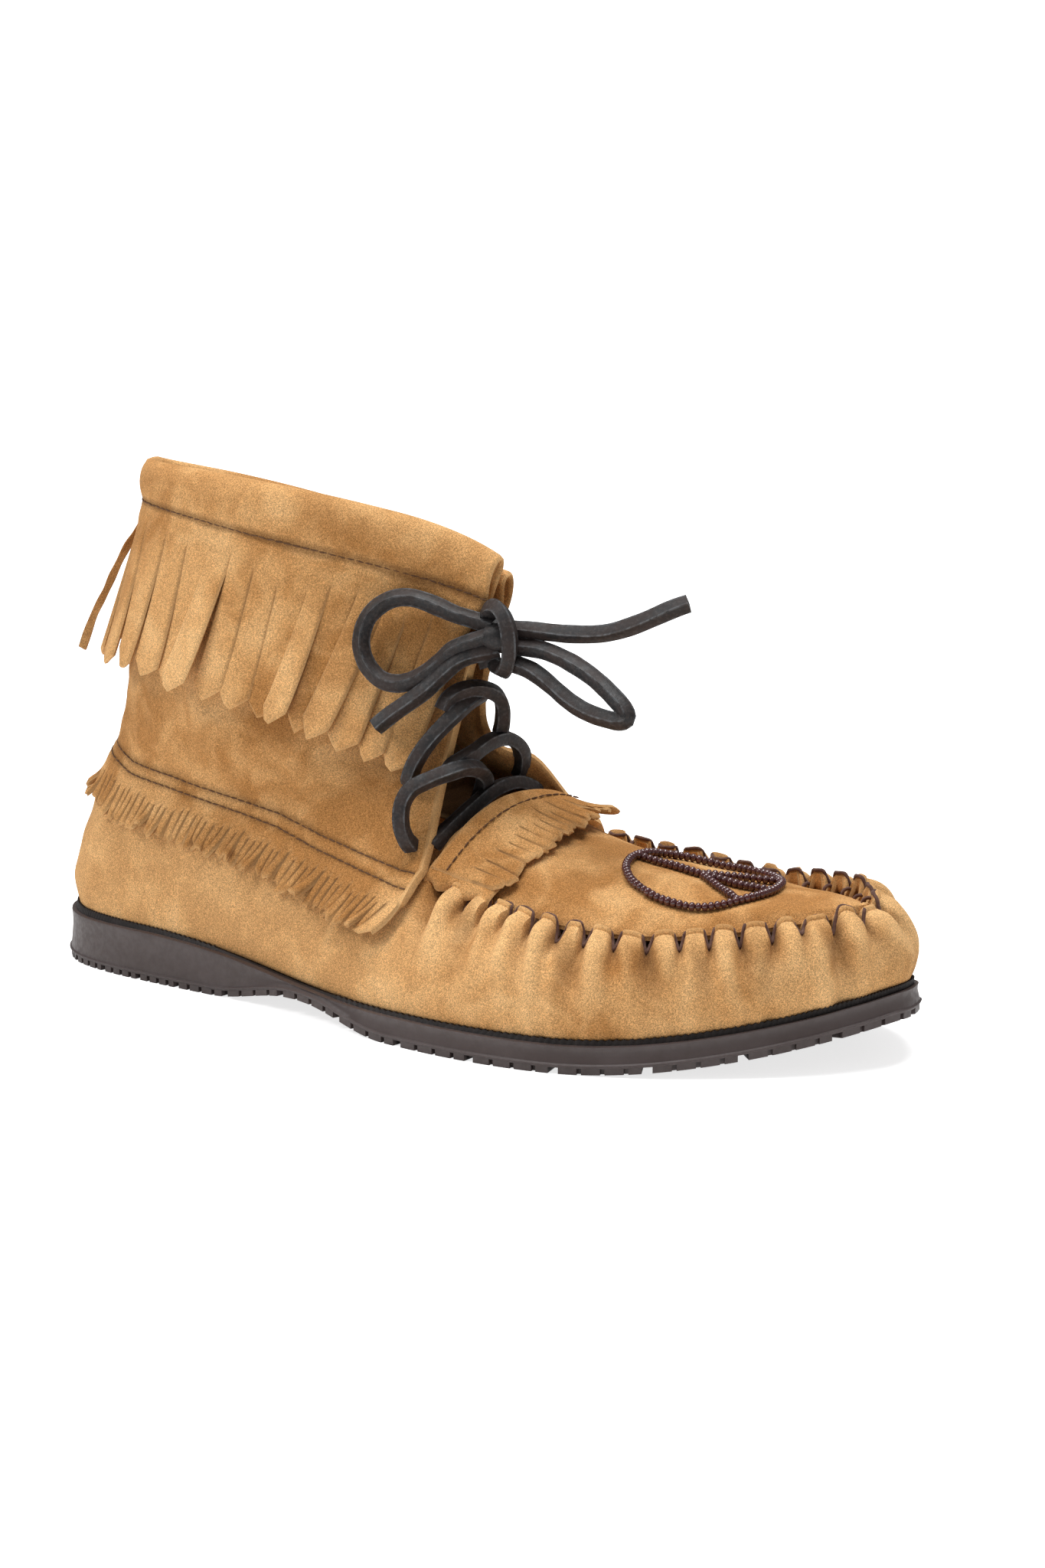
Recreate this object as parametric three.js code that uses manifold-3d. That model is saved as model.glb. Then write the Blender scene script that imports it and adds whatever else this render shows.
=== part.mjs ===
// Fringed moccasin ankle boot, right foot, standing empty on its sole.
// Millimetres. +X to the toe, +Y to the wearer's left (the medial side), +Z up, floor at z = 0.
import * as THREE from 'three';
import { mergeVertices } from 'three/addons/utils/BufferGeometryUtils.js';
import Module from 'manifold-3d';

const wasm = await Module();
wasm.setup();

// ---- driving sizes ----------------------------------------------------------------------
const LENGTH = 293;
const HEEL_X = -3;
const BALL_WIDTH = 105;
const HEEL_HEIGHT = 15.5;
const FOREFOOT_HEIGHT = 8;
const TOE_SPRING = 13.5;
const ARCH_GAP = 5.5;
const WALL = 2;
const GAP = 0.35;
const FEATHER_INSET = 2.5;
const LACE = 4;

// ---- tables, a row for each section -----------------------------------------------------
// Sole outline: share of the length, half widths as shares of the ball width.
const OUTLINE = table('at lateral medial', [
  [0.00, 0.000, 0.000],
  [0.02, 0.165, 0.165],
  [0.06, 0.262, 0.262],
  [0.12, 0.315, 0.310],
  [0.20, 0.345, 0.318],
  [0.30, 0.372, 0.292],
  [0.42, 0.445, 0.262],
  [0.54, 0.527, 0.312],
  [0.64, 0.556, 0.395],
  [0.72, 0.540, 0.440],
  [0.80, 0.468, 0.452],
  [0.88, 0.335, 0.425],
  [0.94, 0.200, 0.345],
  [0.98, 0.070, 0.225],
  [1.00, -0.070, 0.070],
]);

// Wrap: its top line, inset from the sole outline and its height on each side, then how far
// the profile bulges above the sole and how its shoulder leans out and down from the top line.
const WRAP = table('at insetLateral insetMedial highLateral highMedial bulge out down', [
  [0.00, 20.0, 20.0, 71.0, 71.0, 7.0, 10.0, 19.0],
  [0.10, 17.0, 17.0, 69.0, 69.0, 6.0, 9.0, 18.0],
  [0.20, 11.5, 10.0, 66.0, 66.0, 4.0, 5.0, 17.0],
  [0.30, 8.0, 3.0, 62.5, 63.0, 3.0, 3.0, 15.0],
  [0.40, 11.5, -1.0, 56.0, 59.0, 3.0, 4.0, 14.0],
  [0.50, 19.0, 1.5, 47.0, 55.0, 4.0, 8.0, 10.0],
  [0.56, 22.0, 7.0, 42.5, 51.0, 4.5, 13.0, 5.0],
  [0.62, 18.0, 11.5, 39.5, 47.5, 4.5, 13.0, 4.0],
  [0.69, 14.0, 14.0, 38.0, 45.0, 4.5, 12.0, 3.5],
  [0.76, 12.0, 14.0, 39.0, 45.0, 4.5, 11.0, 3.5],
  [0.83, 11.0, 12.0, 42.0, 46.0, 5.0, 10.0, 3.5],
  [1.00, 12.0, 12.0, 43.0, 43.0, 5.5, 10.0, 3.5],
]);

// Plug: how far its crown stands above the chord between the two seams, throat to toe.
const PLUG = table('at crown', [
  [0.00, 16.5],
  [0.09, 12.5],
  [0.22, 10.0],
  [0.36, 8.2],
  [0.50, 5.5],
  [0.65, 3.5],
  [0.83, 2.2],
  [1.00, 1.5],
]);

// Shaft: level sections from the ankle to the crest of the collar. Half widths of the two
// sides, how far each front edge stands off the middle, and the height of the back and front.
const SHAFT = table(
  'up back front lateral medial edgeLateral edgeMedial highBack highFront medialDrop', [
    [0.45, 22.5, 151.5, 32.0, 36.0, 15.0, 2.0, 99.0, 84.0, 0.0],
    [0.80, 27.0, 157.0, 26.0, 25.0, 7.0, 1.0, 140.0, 118.0, 2.5],
    [1.00, 27.0, 161.0, 21.0, 19.0, 4.0, 0.0, 161.0, 137.0, 5.0],
  ]);

const THROAT_LATERAL = 0.515;
const THROAT_MEDIAL = 0.56;
const WIDEST = 0.42;

// ---- helpers ----------------------------------------------------------------------------
function table(names, rows) {
  const columns = {};
  names.split(' ').forEach((name, i) => {
    columns[name] = rows.map((row) => row[i]);
  });
  return columns;
}

// Smooth curve through a column of values, by cubic pieces.
function spline(xs, ys) {
  const n = xs.length;
  const step = [];
  const rise = [];
  for (let i = 0; i < n - 1; i++) {
    step.push(xs[i + 1] - xs[i]);
    rise.push((ys[i + 1] - ys[i]) / step[i]);
  }
  const slope = new Array(n).fill(0);
  for (let i = 1; i < n - 1; i++) {
    slope[i] = (rise[i - 1] * step[i] + rise[i] * step[i - 1]) / (step[i - 1] + step[i]);
  }
  slope[0] = rise[0] * 1.5 - slope[1] * 0.5;
  slope[n - 1] = rise[n - 2] * 1.5 - slope[n - 2] * 0.5;
  return (x) => {
    const at = Math.min(Math.max(x, xs[0]), xs[n - 1]);
    let i = 0;
    while (i < n - 2 && at >= xs[i + 1]) i++;
    const t = (at - xs[i]) / step[i];
    const r = 1 - t;
    return ys[i] * (1 + 2 * t) * r * r + slope[i] * step[i] * t * r * r
      + ys[i + 1] * t * t * (3 - 2 * t) + slope[i + 1] * step[i] * t * t * (t - 1);
  };
}

function mix(a, b, k) {
  return a + (b - a) * k;
}

function clamp01(x) {
  return Math.min(Math.max(x, 0), 1);
}

function smooth(x) {
  const k = clamp01(x);
  return k * k * (3 - 2 * k);
}

function spread(from, to, count) {
  return Array.from({ length: count + 1 }, (_, i) => mix(from, to, i / count));
}

// Even steps in angle crowd the rows towards both ends, where an outline turns most.
function stationOf(share) {
  return Math.acos(1 - 2 * clamp01(share)) / Math.PI;
}

function shareOf(station) {
  return (1 - Math.cos(Math.PI * station)) / 2;
}

// ---- closed meshes and solids -----------------------------------------------------------
function solidOf(points, triangles) {
  const seen = new Map();
  const places = [];
  const index = points.map((p) => {
    const key = `${p.x.toFixed(4)},${p.y.toFixed(4)},${p.z.toFixed(4)}`;
    if (!seen.has(key)) {
      seen.set(key, places.length / 3);
      places.push(p.x, p.y, p.z);
    }
    return seen.get(key);
  });
  const kept = [];
  let volume = 0;
  for (const [a, b, c] of triangles) {
    const [i, j, k] = [index[a], index[b], index[c]];
    if (i === j || j === k || k === i) continue;
    kept.push(i, j, k);
    volume += points[a].dot(points[b].clone().cross(points[c]));
  }
  if (volume < 0) kept.reverse();
  return new wasm.Manifold(new wasm.Mesh({
    numProp: 3,
    vertProperties: new Float32Array(places),
    triVerts: new Uint32Array(kept),
  }));
}

function solidOfGeometry(geometry) {
  const bare = geometry.clone();
  bare.deleteAttribute('normal');
  bare.deleteAttribute('uv');
  const merged = mergeVertices(bare, 1e-4);
  const place = merged.getAttribute('position');
  const points = [];
  for (let i = 0; i < place.count; i++) {
    points.push(new THREE.Vector3().fromBufferAttribute(place, i));
  }
  const triangles = [];
  const order = merged.getIndex().array;
  for (let i = 0; i < order.length; i += 3) {
    triangles.push([order[i], order[i + 1], order[i + 2]]);
  }
  return solidOf(points, triangles);
}

function geometryOfSolid(solid) {
  const mesh = solid.getMesh();
  const geometry = new THREE.BufferGeometry();
  geometry.setAttribute('position', new THREE.BufferAttribute(mesh.vertProperties, 3));
  geometry.setIndex(new THREE.BufferAttribute(mesh.triVerts, 1));
  geometry.computeVertexNormals();
  return geometry;
}

// A sheet of leather: rows of points thickened from `inner` to `outer` along its normals.
// Either offset may be a function of the row and column.
function sheet(rows, inner, outer) {
  const points = [];
  const faces = [];
  const seen = new Map();
  const ids = rows.map((row) => row.map((p) => {
    const key = `${p.x.toFixed(3)},${p.y.toFixed(3)},${p.z.toFixed(3)}`;
    if (!seen.has(key)) {
      seen.set(key, points.length);
      points.push(p.clone());
    }
    return seen.get(key);
  }));
  const innerAt = new Array(points.length);
  const outerAt = new Array(points.length);
  rows.forEach((row, i) => row.forEach((_, j) => {
    innerAt[ids[i][j]] = typeof inner === 'function' ? inner(i, j) : inner;
    outerAt[ids[i][j]] = typeof outer === 'function' ? outer(i, j) : outer;
  }));
  for (let i = 0; i < rows.length - 1; i++) {
    for (let j = 0; j < rows[i].length - 1; j++) {
      const [a, b, c, d] = [ids[i][j], ids[i][j + 1], ids[i + 1][j + 1], ids[i + 1][j]];
      for (const face of [[a, b, c], [a, c, d]]) {
        if (new Set(face).size === 3) faces.push(face);
      }
    }
  }
  const normals = points.map(() => new THREE.Vector3());
  const edges = new Map();
  for (const [a, b, c] of faces) {
    const across = points[b].clone().sub(points[a]);
    const normal = across.cross(points[c].clone().sub(points[a]));
    for (const [from, to] of [[a, b], [b, c], [c, a]]) {
      normals[from].add(normal);
      edges.set(`${from}_${to}`, [from, to]);
    }
  }
  const count = points.length;
  const all = [];
  points.forEach((p, i) => all.push(p.clone().addScaledVector(normals[i].normalize(), outerAt[i])));
  points.forEach((p, i) => all.push(p.clone().addScaledVector(normals[i], innerAt[i])));
  const triangles = [];
  for (const [a, b, c] of faces) {
    triangles.push([a, b, c], [a + count, c + count, b + count]);
  }
  for (const [from, to] of edges.values()) {
    if (!edges.has(`${to}_${from}`)) {
      triangles.push([to, from, from + count], [to, from + count, to + count]);
    }
  }
  return solidOf(all, triangles);
}

// Closed rings stacked upwards, with flat ladders of triangles over the first and the last.
function stack(rings) {
  const n = rings[0].length;
  const points = rings.flat();
  const triangles = [];
  for (let r = 0; r < rings.length - 1; r++) {
    for (let i = 0; i < n; i++) {
      const a = r * n + i;
      const b = r * n + (i + 1) % n;
      triangles.push([a, b, b + n], [a, b + n, a + n]);
    }
  }
  const last = (rings.length - 1) * n;
  for (let i = 0; i < n / 2; i++) {
    const [a, b] = [i, i + 1];
    const [c, d] = [(n - i - 1) % n, (n - i) % n];
    triangles.push([a, c, b], [a, d, c]);
    triangles.push([last + a, last + b, last + c], [last + a, last + c, last + d]);
  }
  return solidOf(points, triangles);
}

// A thong: a square-shouldered section pushed along a smooth curve through hand-laid points.
function thong(route, steps) {
  const half = LACE / 2;
  const nick = half * 0.42;
  const section = new THREE.Shape([
    [half, nick], [nick, half], [-nick, half], [-half, nick],
    [-half, -nick], [-nick, -half], [nick, -half], [half, -nick],
  ].map(([x, y]) => new THREE.Vector2(x, y)));
  const path = new THREE.CatmullRomCurve3(route.map(([x, y, z]) => new THREE.Vector3(x, y, z)));
  const geometry = new THREE.ExtrudeGeometry(section, { steps, extrudePath: path, bevelEnabled: false });
  return solidOfGeometry(geometry);
}

// ---- outline, sole heights --------------------------------------------------------------
const stations = OUTLINE.at.map(stationOf);
const lateralHalf = spline(stations, OUTLINE.lateral.map((share) => share * BALL_WIDTH));
const medialHalf = spline(stations, OUTLINE.medial.map((share) => share * BALL_WIDTH));

// Round the foot: 0 at the heel, a half at the toe by the lateral side, 1 back at the heel.
function sideOf(round) {
  const turn = ((round % 1) + 1) % 1;
  const medial = turn > 0.5;
  return { medial, at: medial ? 2 * (1 - turn) : 2 * turn };
}

function outline(round) {
  const { medial, at } = sideOf(round);
  const x = HEEL_X + LENGTH * shareOf(at);
  return new THREE.Vector3(x, medial ? medialHalf(at) : -lateralHalf(at), 0);
}

function outward(round) {
  const ahead = outline(round + 1e-3).sub(outline(round - 1e-3)).normalize();
  return new THREE.Vector3(ahead.y, -ahead.x, 0);
}

function inset(round, distance, z) {
  const p = outline(round).addScaledVector(outward(round), -distance);
  p.z = z;
  return p;
}

function springAt(x) {
  const t = clamp01((x - HEEL_X - 0.73 * LENGTH) / (0.27 * LENGTH));
  return TOE_SPRING * t * t;
}

function underside(x) {
  const t = clamp01((x - HEEL_X - 0.266 * LENGTH) / (0.273 * LENGTH));
  return springAt(x) + ARCH_GAP * Math.sin(Math.PI * t) ** 2;
}

function footbed(x) {
  const t = smooth((x - HEEL_X - 0.164 * LENGTH) / (0.341 * LENGTH));
  return mix(HEEL_HEIGHT, FOREFOOT_HEIGHT, t) + springAt(x);
}

// ---- the surfaces of the upper ----------------------------------------------------------
const wrapCurve = {};
for (const name of ['insetLateral', 'insetMedial', 'highLateral', 'highMedial', 'bulge', 'out', 'down']) {
  wrapCurve[name] = spline(WRAP.at, WRAP[name]);
}

function topLine(round, grow = 0) {
  const { medial, at } = sideOf(round);
  const distance = medial ? wrapCurve.insetMedial(at) : wrapCurve.insetLateral(at);
  const high = medial ? wrapCurve.highMedial(at) : wrapCurve.highLateral(at);
  return inset(round, distance - grow, high);
}

function feather(round) {
  const p = inset(round, FEATHER_INSET, 0);
  p.z = footbed(p.x) + GAP;
  return p;
}

// The wrap at `up` from 0 at the sole to 1 at its top line, one cubic profile per station.
function wrapAt(round, up) {
  const { at } = sideOf(round);
  const low = feather(round);
  const high = topLine(round);
  const n = outward(round);
  const first = low.clone().addScaledVector(n, wrapCurve.bulge(at));
  first.z += 0.3 * (high.z - low.z);
  const second = high.clone().addScaledVector(n, wrapCurve.out(at));
  second.z -= wrapCurve.down(at);
  return new THREE.CubicBezierCurve3(low, first, second, high).getPoint(up);
}

const crown = spline(PLUG.at, PLUG.crown);

// The plug: `along` from 0 at the throat to 1 at the toe, `across` from -1 to 1.
function plugAt(along, across, grow = 0) {
  const lateral = topLine(mix(THROAT_LATERAL, 1, along) / 2, grow);
  const medial = topLine(1 - mix(THROAT_MEDIAL, 1, along) / 2, grow);
  const p = lateral.lerp(medial, (across + 1) / 2);
  p.z += crown(along) * (1 - Math.abs(across) ** 2.2);
  return p;
}

function levelAt(row, round, medial) {
  const share = shareOf(round);
  const full = medial ? SHAFT.medial[row] : SHAFT.lateral[row];
  const edge = medial ? SHAFT.edgeMedial[row] : SHAFT.edgeLateral[row];
  const nose = Math.sqrt(1 - (1 - Math.min(share / WIDEST, 1)) ** 2);
  const close = smooth((share - WIDEST) / (1 - WIDEST));
  const y = mix(full * nose, edge, close);
  const x = mix(SHAFT.back[row], SHAFT.front[row], share);
  const drop = medial ? SHAFT.medialDrop[row] * nose : 0;
  const z = mix(SHAFT.highBack[row], SHAFT.highFront[row], share ** 1.5) - drop;
  return new THREE.Vector3(x, medial ? y : -y, z);
}

// The shaft: `turn` from -1 at the lateral front edge, 0 at the back seam, to 1 at the medial
// front edge, and `up` from 0 at the wrap's top line to 1 at the crest of the collar.
function shaftAt(turn, up) {
  const medial = turn > 0;
  const round = Math.abs(turn);
  const throat = medial ? THROAT_MEDIAL : THROAT_LATERAL;
  const at = stationOf(shareOf(throat) * shareOf(round));
  const line = medial ? 1 - at / 2 : at / 2;
  if (up < 0) return wrapAt(line, 1 + up);
  const stops = [0, ...SHAFT.up];
  const places = [topLine(line)];
  for (let row = 0; row < SHAFT.up.length; row++) places.push(levelAt(row, round, medial));
  return new THREE.Vector3(...['x', 'y', 'z'].map((k) => spline(stops, places.map((p) => p[k]))(up)));
}

// Turns that stand evenly along the shaft's length at one height.
function evenTurns(up, reach, count) {
  const turns = spread(-reach, reach, 240);
  const places = turns.map((turn) => shaftAt(turn, up));
  const run = [0];
  for (let i = 1; i < places.length; i++) run.push(run[i - 1] + places[i].distanceTo(places[i - 1]));
  return spread(0, run[run.length - 1], count).map((length) => {
    const i = Math.min(Math.max(run.findIndex((r) => r >= length), 1), run.length - 1);
    return mix(turns[i - 1], turns[i], (length - run[i - 1]) / (run[i] - run[i - 1]));
  });
}

// ---- pieces -----------------------------------------------------------------------------
const ROUND_STEPS = 70;

function outsoleSolid() {
  const levels = [
    [-1.0, 0, 0], [0.8, 1.2, 0], [0.9, 3.4, 0], [0, 0.45, 1], [-0.2, 1, 1],
  ];
  const rings = levels.map(([grow, lift, share]) => {
    const ring = [];
    for (let i = 0; i < ROUND_STEPS; i++) {
      const p = inset(i / ROUND_STEPS, -grow, 0);
      const base = underside(p.x);
      p.z = share ? mix(base, footbed(p.x), lift) : base + lift;
      ring.push(p);
    }
    return ring;
  });
  let sole = stack(rings);
  for (const groove of grooves()) sole = sole.subtract(groove);
  return sole;
}

// Cross grooves part the tread into lugs, under the heel and under the forefoot.
function grooves() {
  const pitch = 13;
  const wide = 2.4;
  const deep = 1.5;
  const cuts = [];
  for (let k = 0; k < 21; k++) {
    const x = HEEL_X + 9 + k * pitch;
    const waist = x > HEEL_X + 72 && x < HEEL_X + 156;
    if (waist) continue;
    const lean = Math.atan2(underside(x + 2) - underside(x - 2), 4);
    const box = new THREE.BoxGeometry(wide, 1.5 * BALL_WIDTH, 4 * deep);
    box.rotateY(-lean);
    box.translate(x, 0, underside(x) + deep - 2 * deep);
    cuts.push(solidOfGeometry(box));
  }
  return cuts;
}

function insoleSolid() {
  const thick = 3;
  const clear = FEATHER_INSET + WALL + 1.6;
  const rings = [0, thick].map((lift) => {
    const ring = [];
    for (let i = 0; i < ROUND_STEPS; i++) {
      const p = inset(i / ROUND_STEPS, clear, 0);
      p.z = footbed(p.x) + GAP + lift;
      ring.push(p);
    }
    return ring;
  });
  return stack(rings);
}

const SHAFT_LAP = -0.1;
const TURNS = 36;
const ROLL_HIGH = 12;
const ROLL_THICK = 8.6;

// How far up the shaft stands a given depth under the crest of the collar.
function underCrest(turn, depth) {
  const z = shaftAt(turn, 1).z - depth;
  let low = 0.6;
  let high = 1;
  while (high - low > 1e-5) {
    const up = (low + high) / 2;
    if (shaftAt(turn, up).z < z) low = up;
    else high = up;
  }
  return low;
}

function upperSolid() {
  const wrapRows = spread(0, 1, 6).map((up) => spread(0, 1, ROUND_STEPS).map((round) => wrapAt(round, up)));
  const wrap = sheet(wrapRows, -WALL, 0);
  const lap = 1.4;
  const sink = 0.5;
  const plugRows = spread(-1, 1, 10).map((across) => spread(0, 1, 15).map((along) => {
    const p = plugAt(along, across, lap);
    p.z -= sink;
    return p;
  }));
  const plug = sheet(plugRows, -WALL, 0);
  const heights = [0.78, 0.62, 0.45, 0.28, 0.12, 0, SHAFT_LAP / 2, SHAFT_LAP];
  const turns = evenTurns(0.3, 1, TURNS);
  const shaftRows = heights.map((up) => turns.map((turn) => shaftAt(turn, up)));
  shaftRows.unshift(turns.map((turn) => shaftAt(turn, underCrest(turn, ROLL_HIGH + 1.6 * GAP))));
  const shaft = sheet(shaftRows, -WALL / 2, WALL / 2);
  return wrap.add(plug).add(shaft);
}

// The collar is rolled outwards over itself: an oval roll riding on the top of the shaft.
function rollSolid() {
  const sides = 8;
  const end = 0.995;
  const rings = spread(-end, end, 40).map((turn) => {
    const ahead = shaftAt(turn + 2e-3, 1).sub(shaftAt(turn - 2e-3, 1)).normalize();
    const out = new THREE.Vector3(-ahead.y, ahead.x, 0).normalize();
    const middle = shaftAt(turn, 1);
    middle.z -= ROLL_HIGH / 2;
    return spread(0, 2 * Math.PI, sides).slice(0, sides).map((angle) => {
      const p = middle.clone().addScaledVector(out, 0.6 + ROLL_THICK / 2 * Math.cos(angle));
      p.z += ROLL_HIGH / 2 * Math.sin(angle);
      return p;
    });
  });
  return tube(rings);
}

// Closed rings one after another, closed by a fan over each end.
function tube(rings) {
  const n = rings[0].length;
  const triangles = [];
  for (let r = 0; r < rings.length - 1; r++) {
    for (let i = 0; i < n; i++) {
      const a = r * n + i;
      const b = r * n + (i + 1) % n;
      triangles.push([a, b, b + n], [a, b + n, a + n]);
    }
  }
  const last = (rings.length - 1) * n;
  for (let i = 1; i < n - 1; i++) {
    triangles.push([0, i + 1, i], [last, last + i, last + i + 1]);
  }
  return solidOf(rings.flat(), triangles);
}

// A turn round the shaft, drawn back towards the heel as a hanging edge leans backwards.
function leanBack(turn, lean) {
  return Math.sign(turn) * stationOf(shareOf(Math.abs(turn)) * (1 - lean));
}

// Long fringe: a band hanging outside the shaft from under the roll, flaring to pointed tips.
function longFringeSolid() {
  const strips = 28;
  const thick = 1.8;
  const flare = 7;
  const lean = 0.13;
  const point = 0.05;
  const drops = [0, 0.22, 0.45, 0.72, 1];
  const turns = evenTurns(0.6, 0.985, 2 * strips);
  const rows = drops.map((drop) => turns.map((turn, j) => {
    const share = shareOf(Math.abs(turn));
    const tip = mix(0.42, 0.385, share) + (drop === 1 && j % 2 === 0 ? point : 0);
    const top = underCrest(turn, ROLL_HIGH + GAP);
    return shaftAt(leanBack(turn, lean * drop), mix(top, tip, drop));
  }));
  const off = (i, j) => WALL / 2 + GAP + flare * drops[i] ** 1.6 * (1 - 0.4 * shareOf(Math.abs(turns[j])));
  return sheet(rows, off, (i, j) => off(i, j) + thick);
}

// Short fringe: the hem below the ankle seam, lying on the wrap.
function ankleFringeSolid() {
  const thick = 1.6;
  const lean = 0.09;
  const drops = [0, 0.5, 1];
  const turns = evenTurns(-0.1, 0.985, TURNS + 12);
  const rows = drops.map((drop) => turns.map((turn) => (
    shaftAt(leanBack(turn, lean * drop), mix(SHAFT_LAP - 0.014, -0.44, drop)))));
  const off = (i) => GAP + 0.1 + 1.1 * drops[i];
  return sheet(rows, off, (i) => off(i) + thick);
}

// Kiltie: the fringed flap over the back of the plug, across the foot of the throat.
function kiltieSolid() {
  const thick = 2;
  const alongs = [0.01, 0.035, 0.06, 0.085, 0.112];
  const rows = spread(-0.82, 0.8, 10).map((across) => alongs.map((along) => plugAt(along, across)));
  const off = (i, j) => GAP + 0.2 + 0.6 * j / (alongs.length - 1);
  return sheet(rows, off, (i, j) => off(i, j) + thick);
}

// Tongue: from the underside of the plug up inside the throat, bowed forward between the
// two sides of the shaft.
function tongueSolid() {
  const thick = 1.8;
  const under = [0.035, 0.005].map((along) => spread(0.4, -0.4, 8).map((across) => {
    const p = plugAt(along, across);
    p.z -= 3.6;
    return p;
  }));
  const rows = [[0.2, 0.79, 11], [0.34, 0.76, 7], [0.48, 0.7, 6], [0.62, 0.64, 5], [0.76, 0.58, 5]];
  const standing = rows.map(([up, round, behind]) => {
    const lateral = shaftAt(-round, up);
    const medial = shaftAt(round, up);
    lateral.y += WALL / 2 + 1.4;
    medial.y -= WALL / 2 + 1.4;
    const front = shaftAt(-1, up).add(shaftAt(1, up)).multiplyScalar(0.5);
    front.x -= behind;
    return new THREE.QuadraticBezierCurve3(medial, front, lateral).getPoints(8);
  });
  return sheet([...under, ...standing].reverse(), -thick, 0);
}

// ---- lace: a square thong, its visible stretches laid by hand -----------------------------
const LOWER_BAR = [
  [151.8, -24.5, 56.6], [156.2, -17.0, 62.9], [160.2, -8.5, 67.4], [163.5, 0.5, 70.4],
  [166.5, 9.0, 70.6], [167.5, 15.5, 67.6],
];
const RISING_BAR = [
  [153.6, -22.5, 73.0], [156.5, -16.0, 78.0], [160.0, -9.0, 83.0], [163.0, -2.5, 85.0],
  [163.5, 3.5, 82.0],
];
const HOLE_BAR = [
  [146.4, -34.6, 55.0], [142.4, -33.2, 58.6], [140.4, -31.2, 63.0], [141.4, -29.4, 68.2],
  [145.0, -28.0, 72.6], [150.0, -26.0, 75.4], [155.5, -20.0, 76.6], [160.0, -10.5, 75.6],
  [163.5, -1.0, 73.0], [165.0, 6.5, 70.4],
];
const UPPER_BAR = [
  [141.5, -24.8, 74.0], [144.0, -22.6, 79.0], [147.8, -20.4, 84.2], [152.6, -17.6, 89.4],
  [157.2, -12.8, 94.0], [160.6, -6.4, 95.4], [161.4, -0.4, 91.6],
];
const TOP_BAR = [
  [154.1, -13.2, 111.2], [157.6, -11.7, 112.8], [160.0, -7.0, 113.8], [161.0, -2.4, 113.6],
  [160.2, 2.6, 112.6],
];

// ---- bow: knot, loops and ends -------------------------------------------------------------
const KNOT_AT = [165, -12.6, 113.6];
const KNOT_HALF = [4.2, 4.6, 8.6];
const LATERAL_LOOP = [
  [160.5, -12.6, 118.0], [155.6, -12.8, 119.0], [151.0, -13.6, 120.0], [146.6, -14.8, 121.7],
  [142.2, -16.2, 123.4], [137.8, -17.8, 124.5], [133.6, -19.7, 124.2], [129.8, -22.0, 122.1],
  [127.0, -24.0, 118.7], [125.8, -25.6, 114.2], [126.2, -26.6, 109.6], [128.6, -27.0, 104.8],
  [132.8, -26.6, 101.0], [137.4, -25.4, 99.8], [141.6, -23.7, 100.6], [145.8, -21.8, 102.9],
  [150.0, -20.0, 106.0], [154.2, -18.6, 109.0], [160.2, -15.4, 112.2],
];
const LATERAL_END = [
  [162.1, -14.8, 107.6], [158.8, -16.8, 105.8], [156.4, -18.2, 104.4], [154.0, -19.4, 102.8],
  [151.6, -20.6, 101.2], [149.2, -21.8, 99.6], [147.0, -23.0, 98.0], [144.8, -24.2, 96.4],
  [142.6, -25.4, 94.8], [140.6, -26.4, 93.2], [138.8, -27.3, 91.8], [137.2, -28.2, 90.4],
  [135.8, -29.0, 89.1], [134.6, -29.6, 88.0], [133.6, -30.2, 87.0],
];
const FRONT_END = [
  [168.9, -9.8, 116.4], [173.8, -9.0, 116.3], [177.6, -8.6, 116.2], [181.6, -8.2, 116.1],
  [185.6, -7.8, 116.0], [189.6, -7.4, 116.1], [193.6, -6.8, 116.3], [197.6, -6.2, 116.8],
  [201.4, -5.4, 117.7], [205.2, -4.6, 119.0], [208.8, -3.6, 120.5], [212.2, -2.4, 122.1],
  [215.4, -1.2, 123.7], [218.4, 0.2, 125.1], [221.2, 1.6, 126.2],
];
const FRONT_LOOP = [
  [169.6, -10.9, 111.6], [174.6, -10.4, 111.5], [179.2, -10.4, 111.1], [184.0, -10.8, 110.1],
  [188.8, -11.2, 108.6], [193.4, -11.7, 106.8], [197.8, -12.2, 104.7], [202.0, -12.8, 102.2],
  [206.0, -13.4, 99.4], [209.4, -14.0, 96.6], [210.6, -14.6, 94.2], [208.2, -15.0, 93.2],
  [203.8, -15.0, 93.6], [199.4, -14.8, 94.4], [195.2, -14.4, 95.6], [191.2, -13.8, 97.2],
  [187.4, -13.2, 99.2], [183.6, -12.6, 101.4], [179.6, -12.2, 103.6], [175.2, -11.8, 105.4],
  [168.5, -11.8, 107.0],
];

function knotSolid() {
  const ball = new THREE.SphereGeometry(1, 12, 8);
  ball.scale(...KNOT_HALF);
  ball.translate(...KNOT_AT);
  return solidOfGeometry(ball);
}

// ---- the boot ----------------------------------------------------------------------------
const TAN_SUEDE = { color: 0xc79a5e, roughness: 0.95, metalness: 0 };
const INNER_LEATHER = { color: 0x8f6a42, roughness: 0.85, metalness: 0 };
const DARK_RUBBER = { color: 0x51474a, roughness: 0.7, metalness: 0 };
const DARK_THONG = { color: 0x3a3233, roughness: 0.6, metalness: 0 };

// The middle of the boot's box without its bow, in the frame that the tables are written in.
const MIDDLE_X = 143.5;
const MIDDLE_Y = -5.45;

const boot = new THREE.Group();
boot.position.set(-MIDDLE_X, -MIDDLE_Y, 0);

function place(name, solid, look) {
  const mesh = new THREE.Mesh(geometryOfSolid(solid), new THREE.MeshStandardMaterial(look));
  mesh.name = name;
  boot.add(mesh);
}

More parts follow.
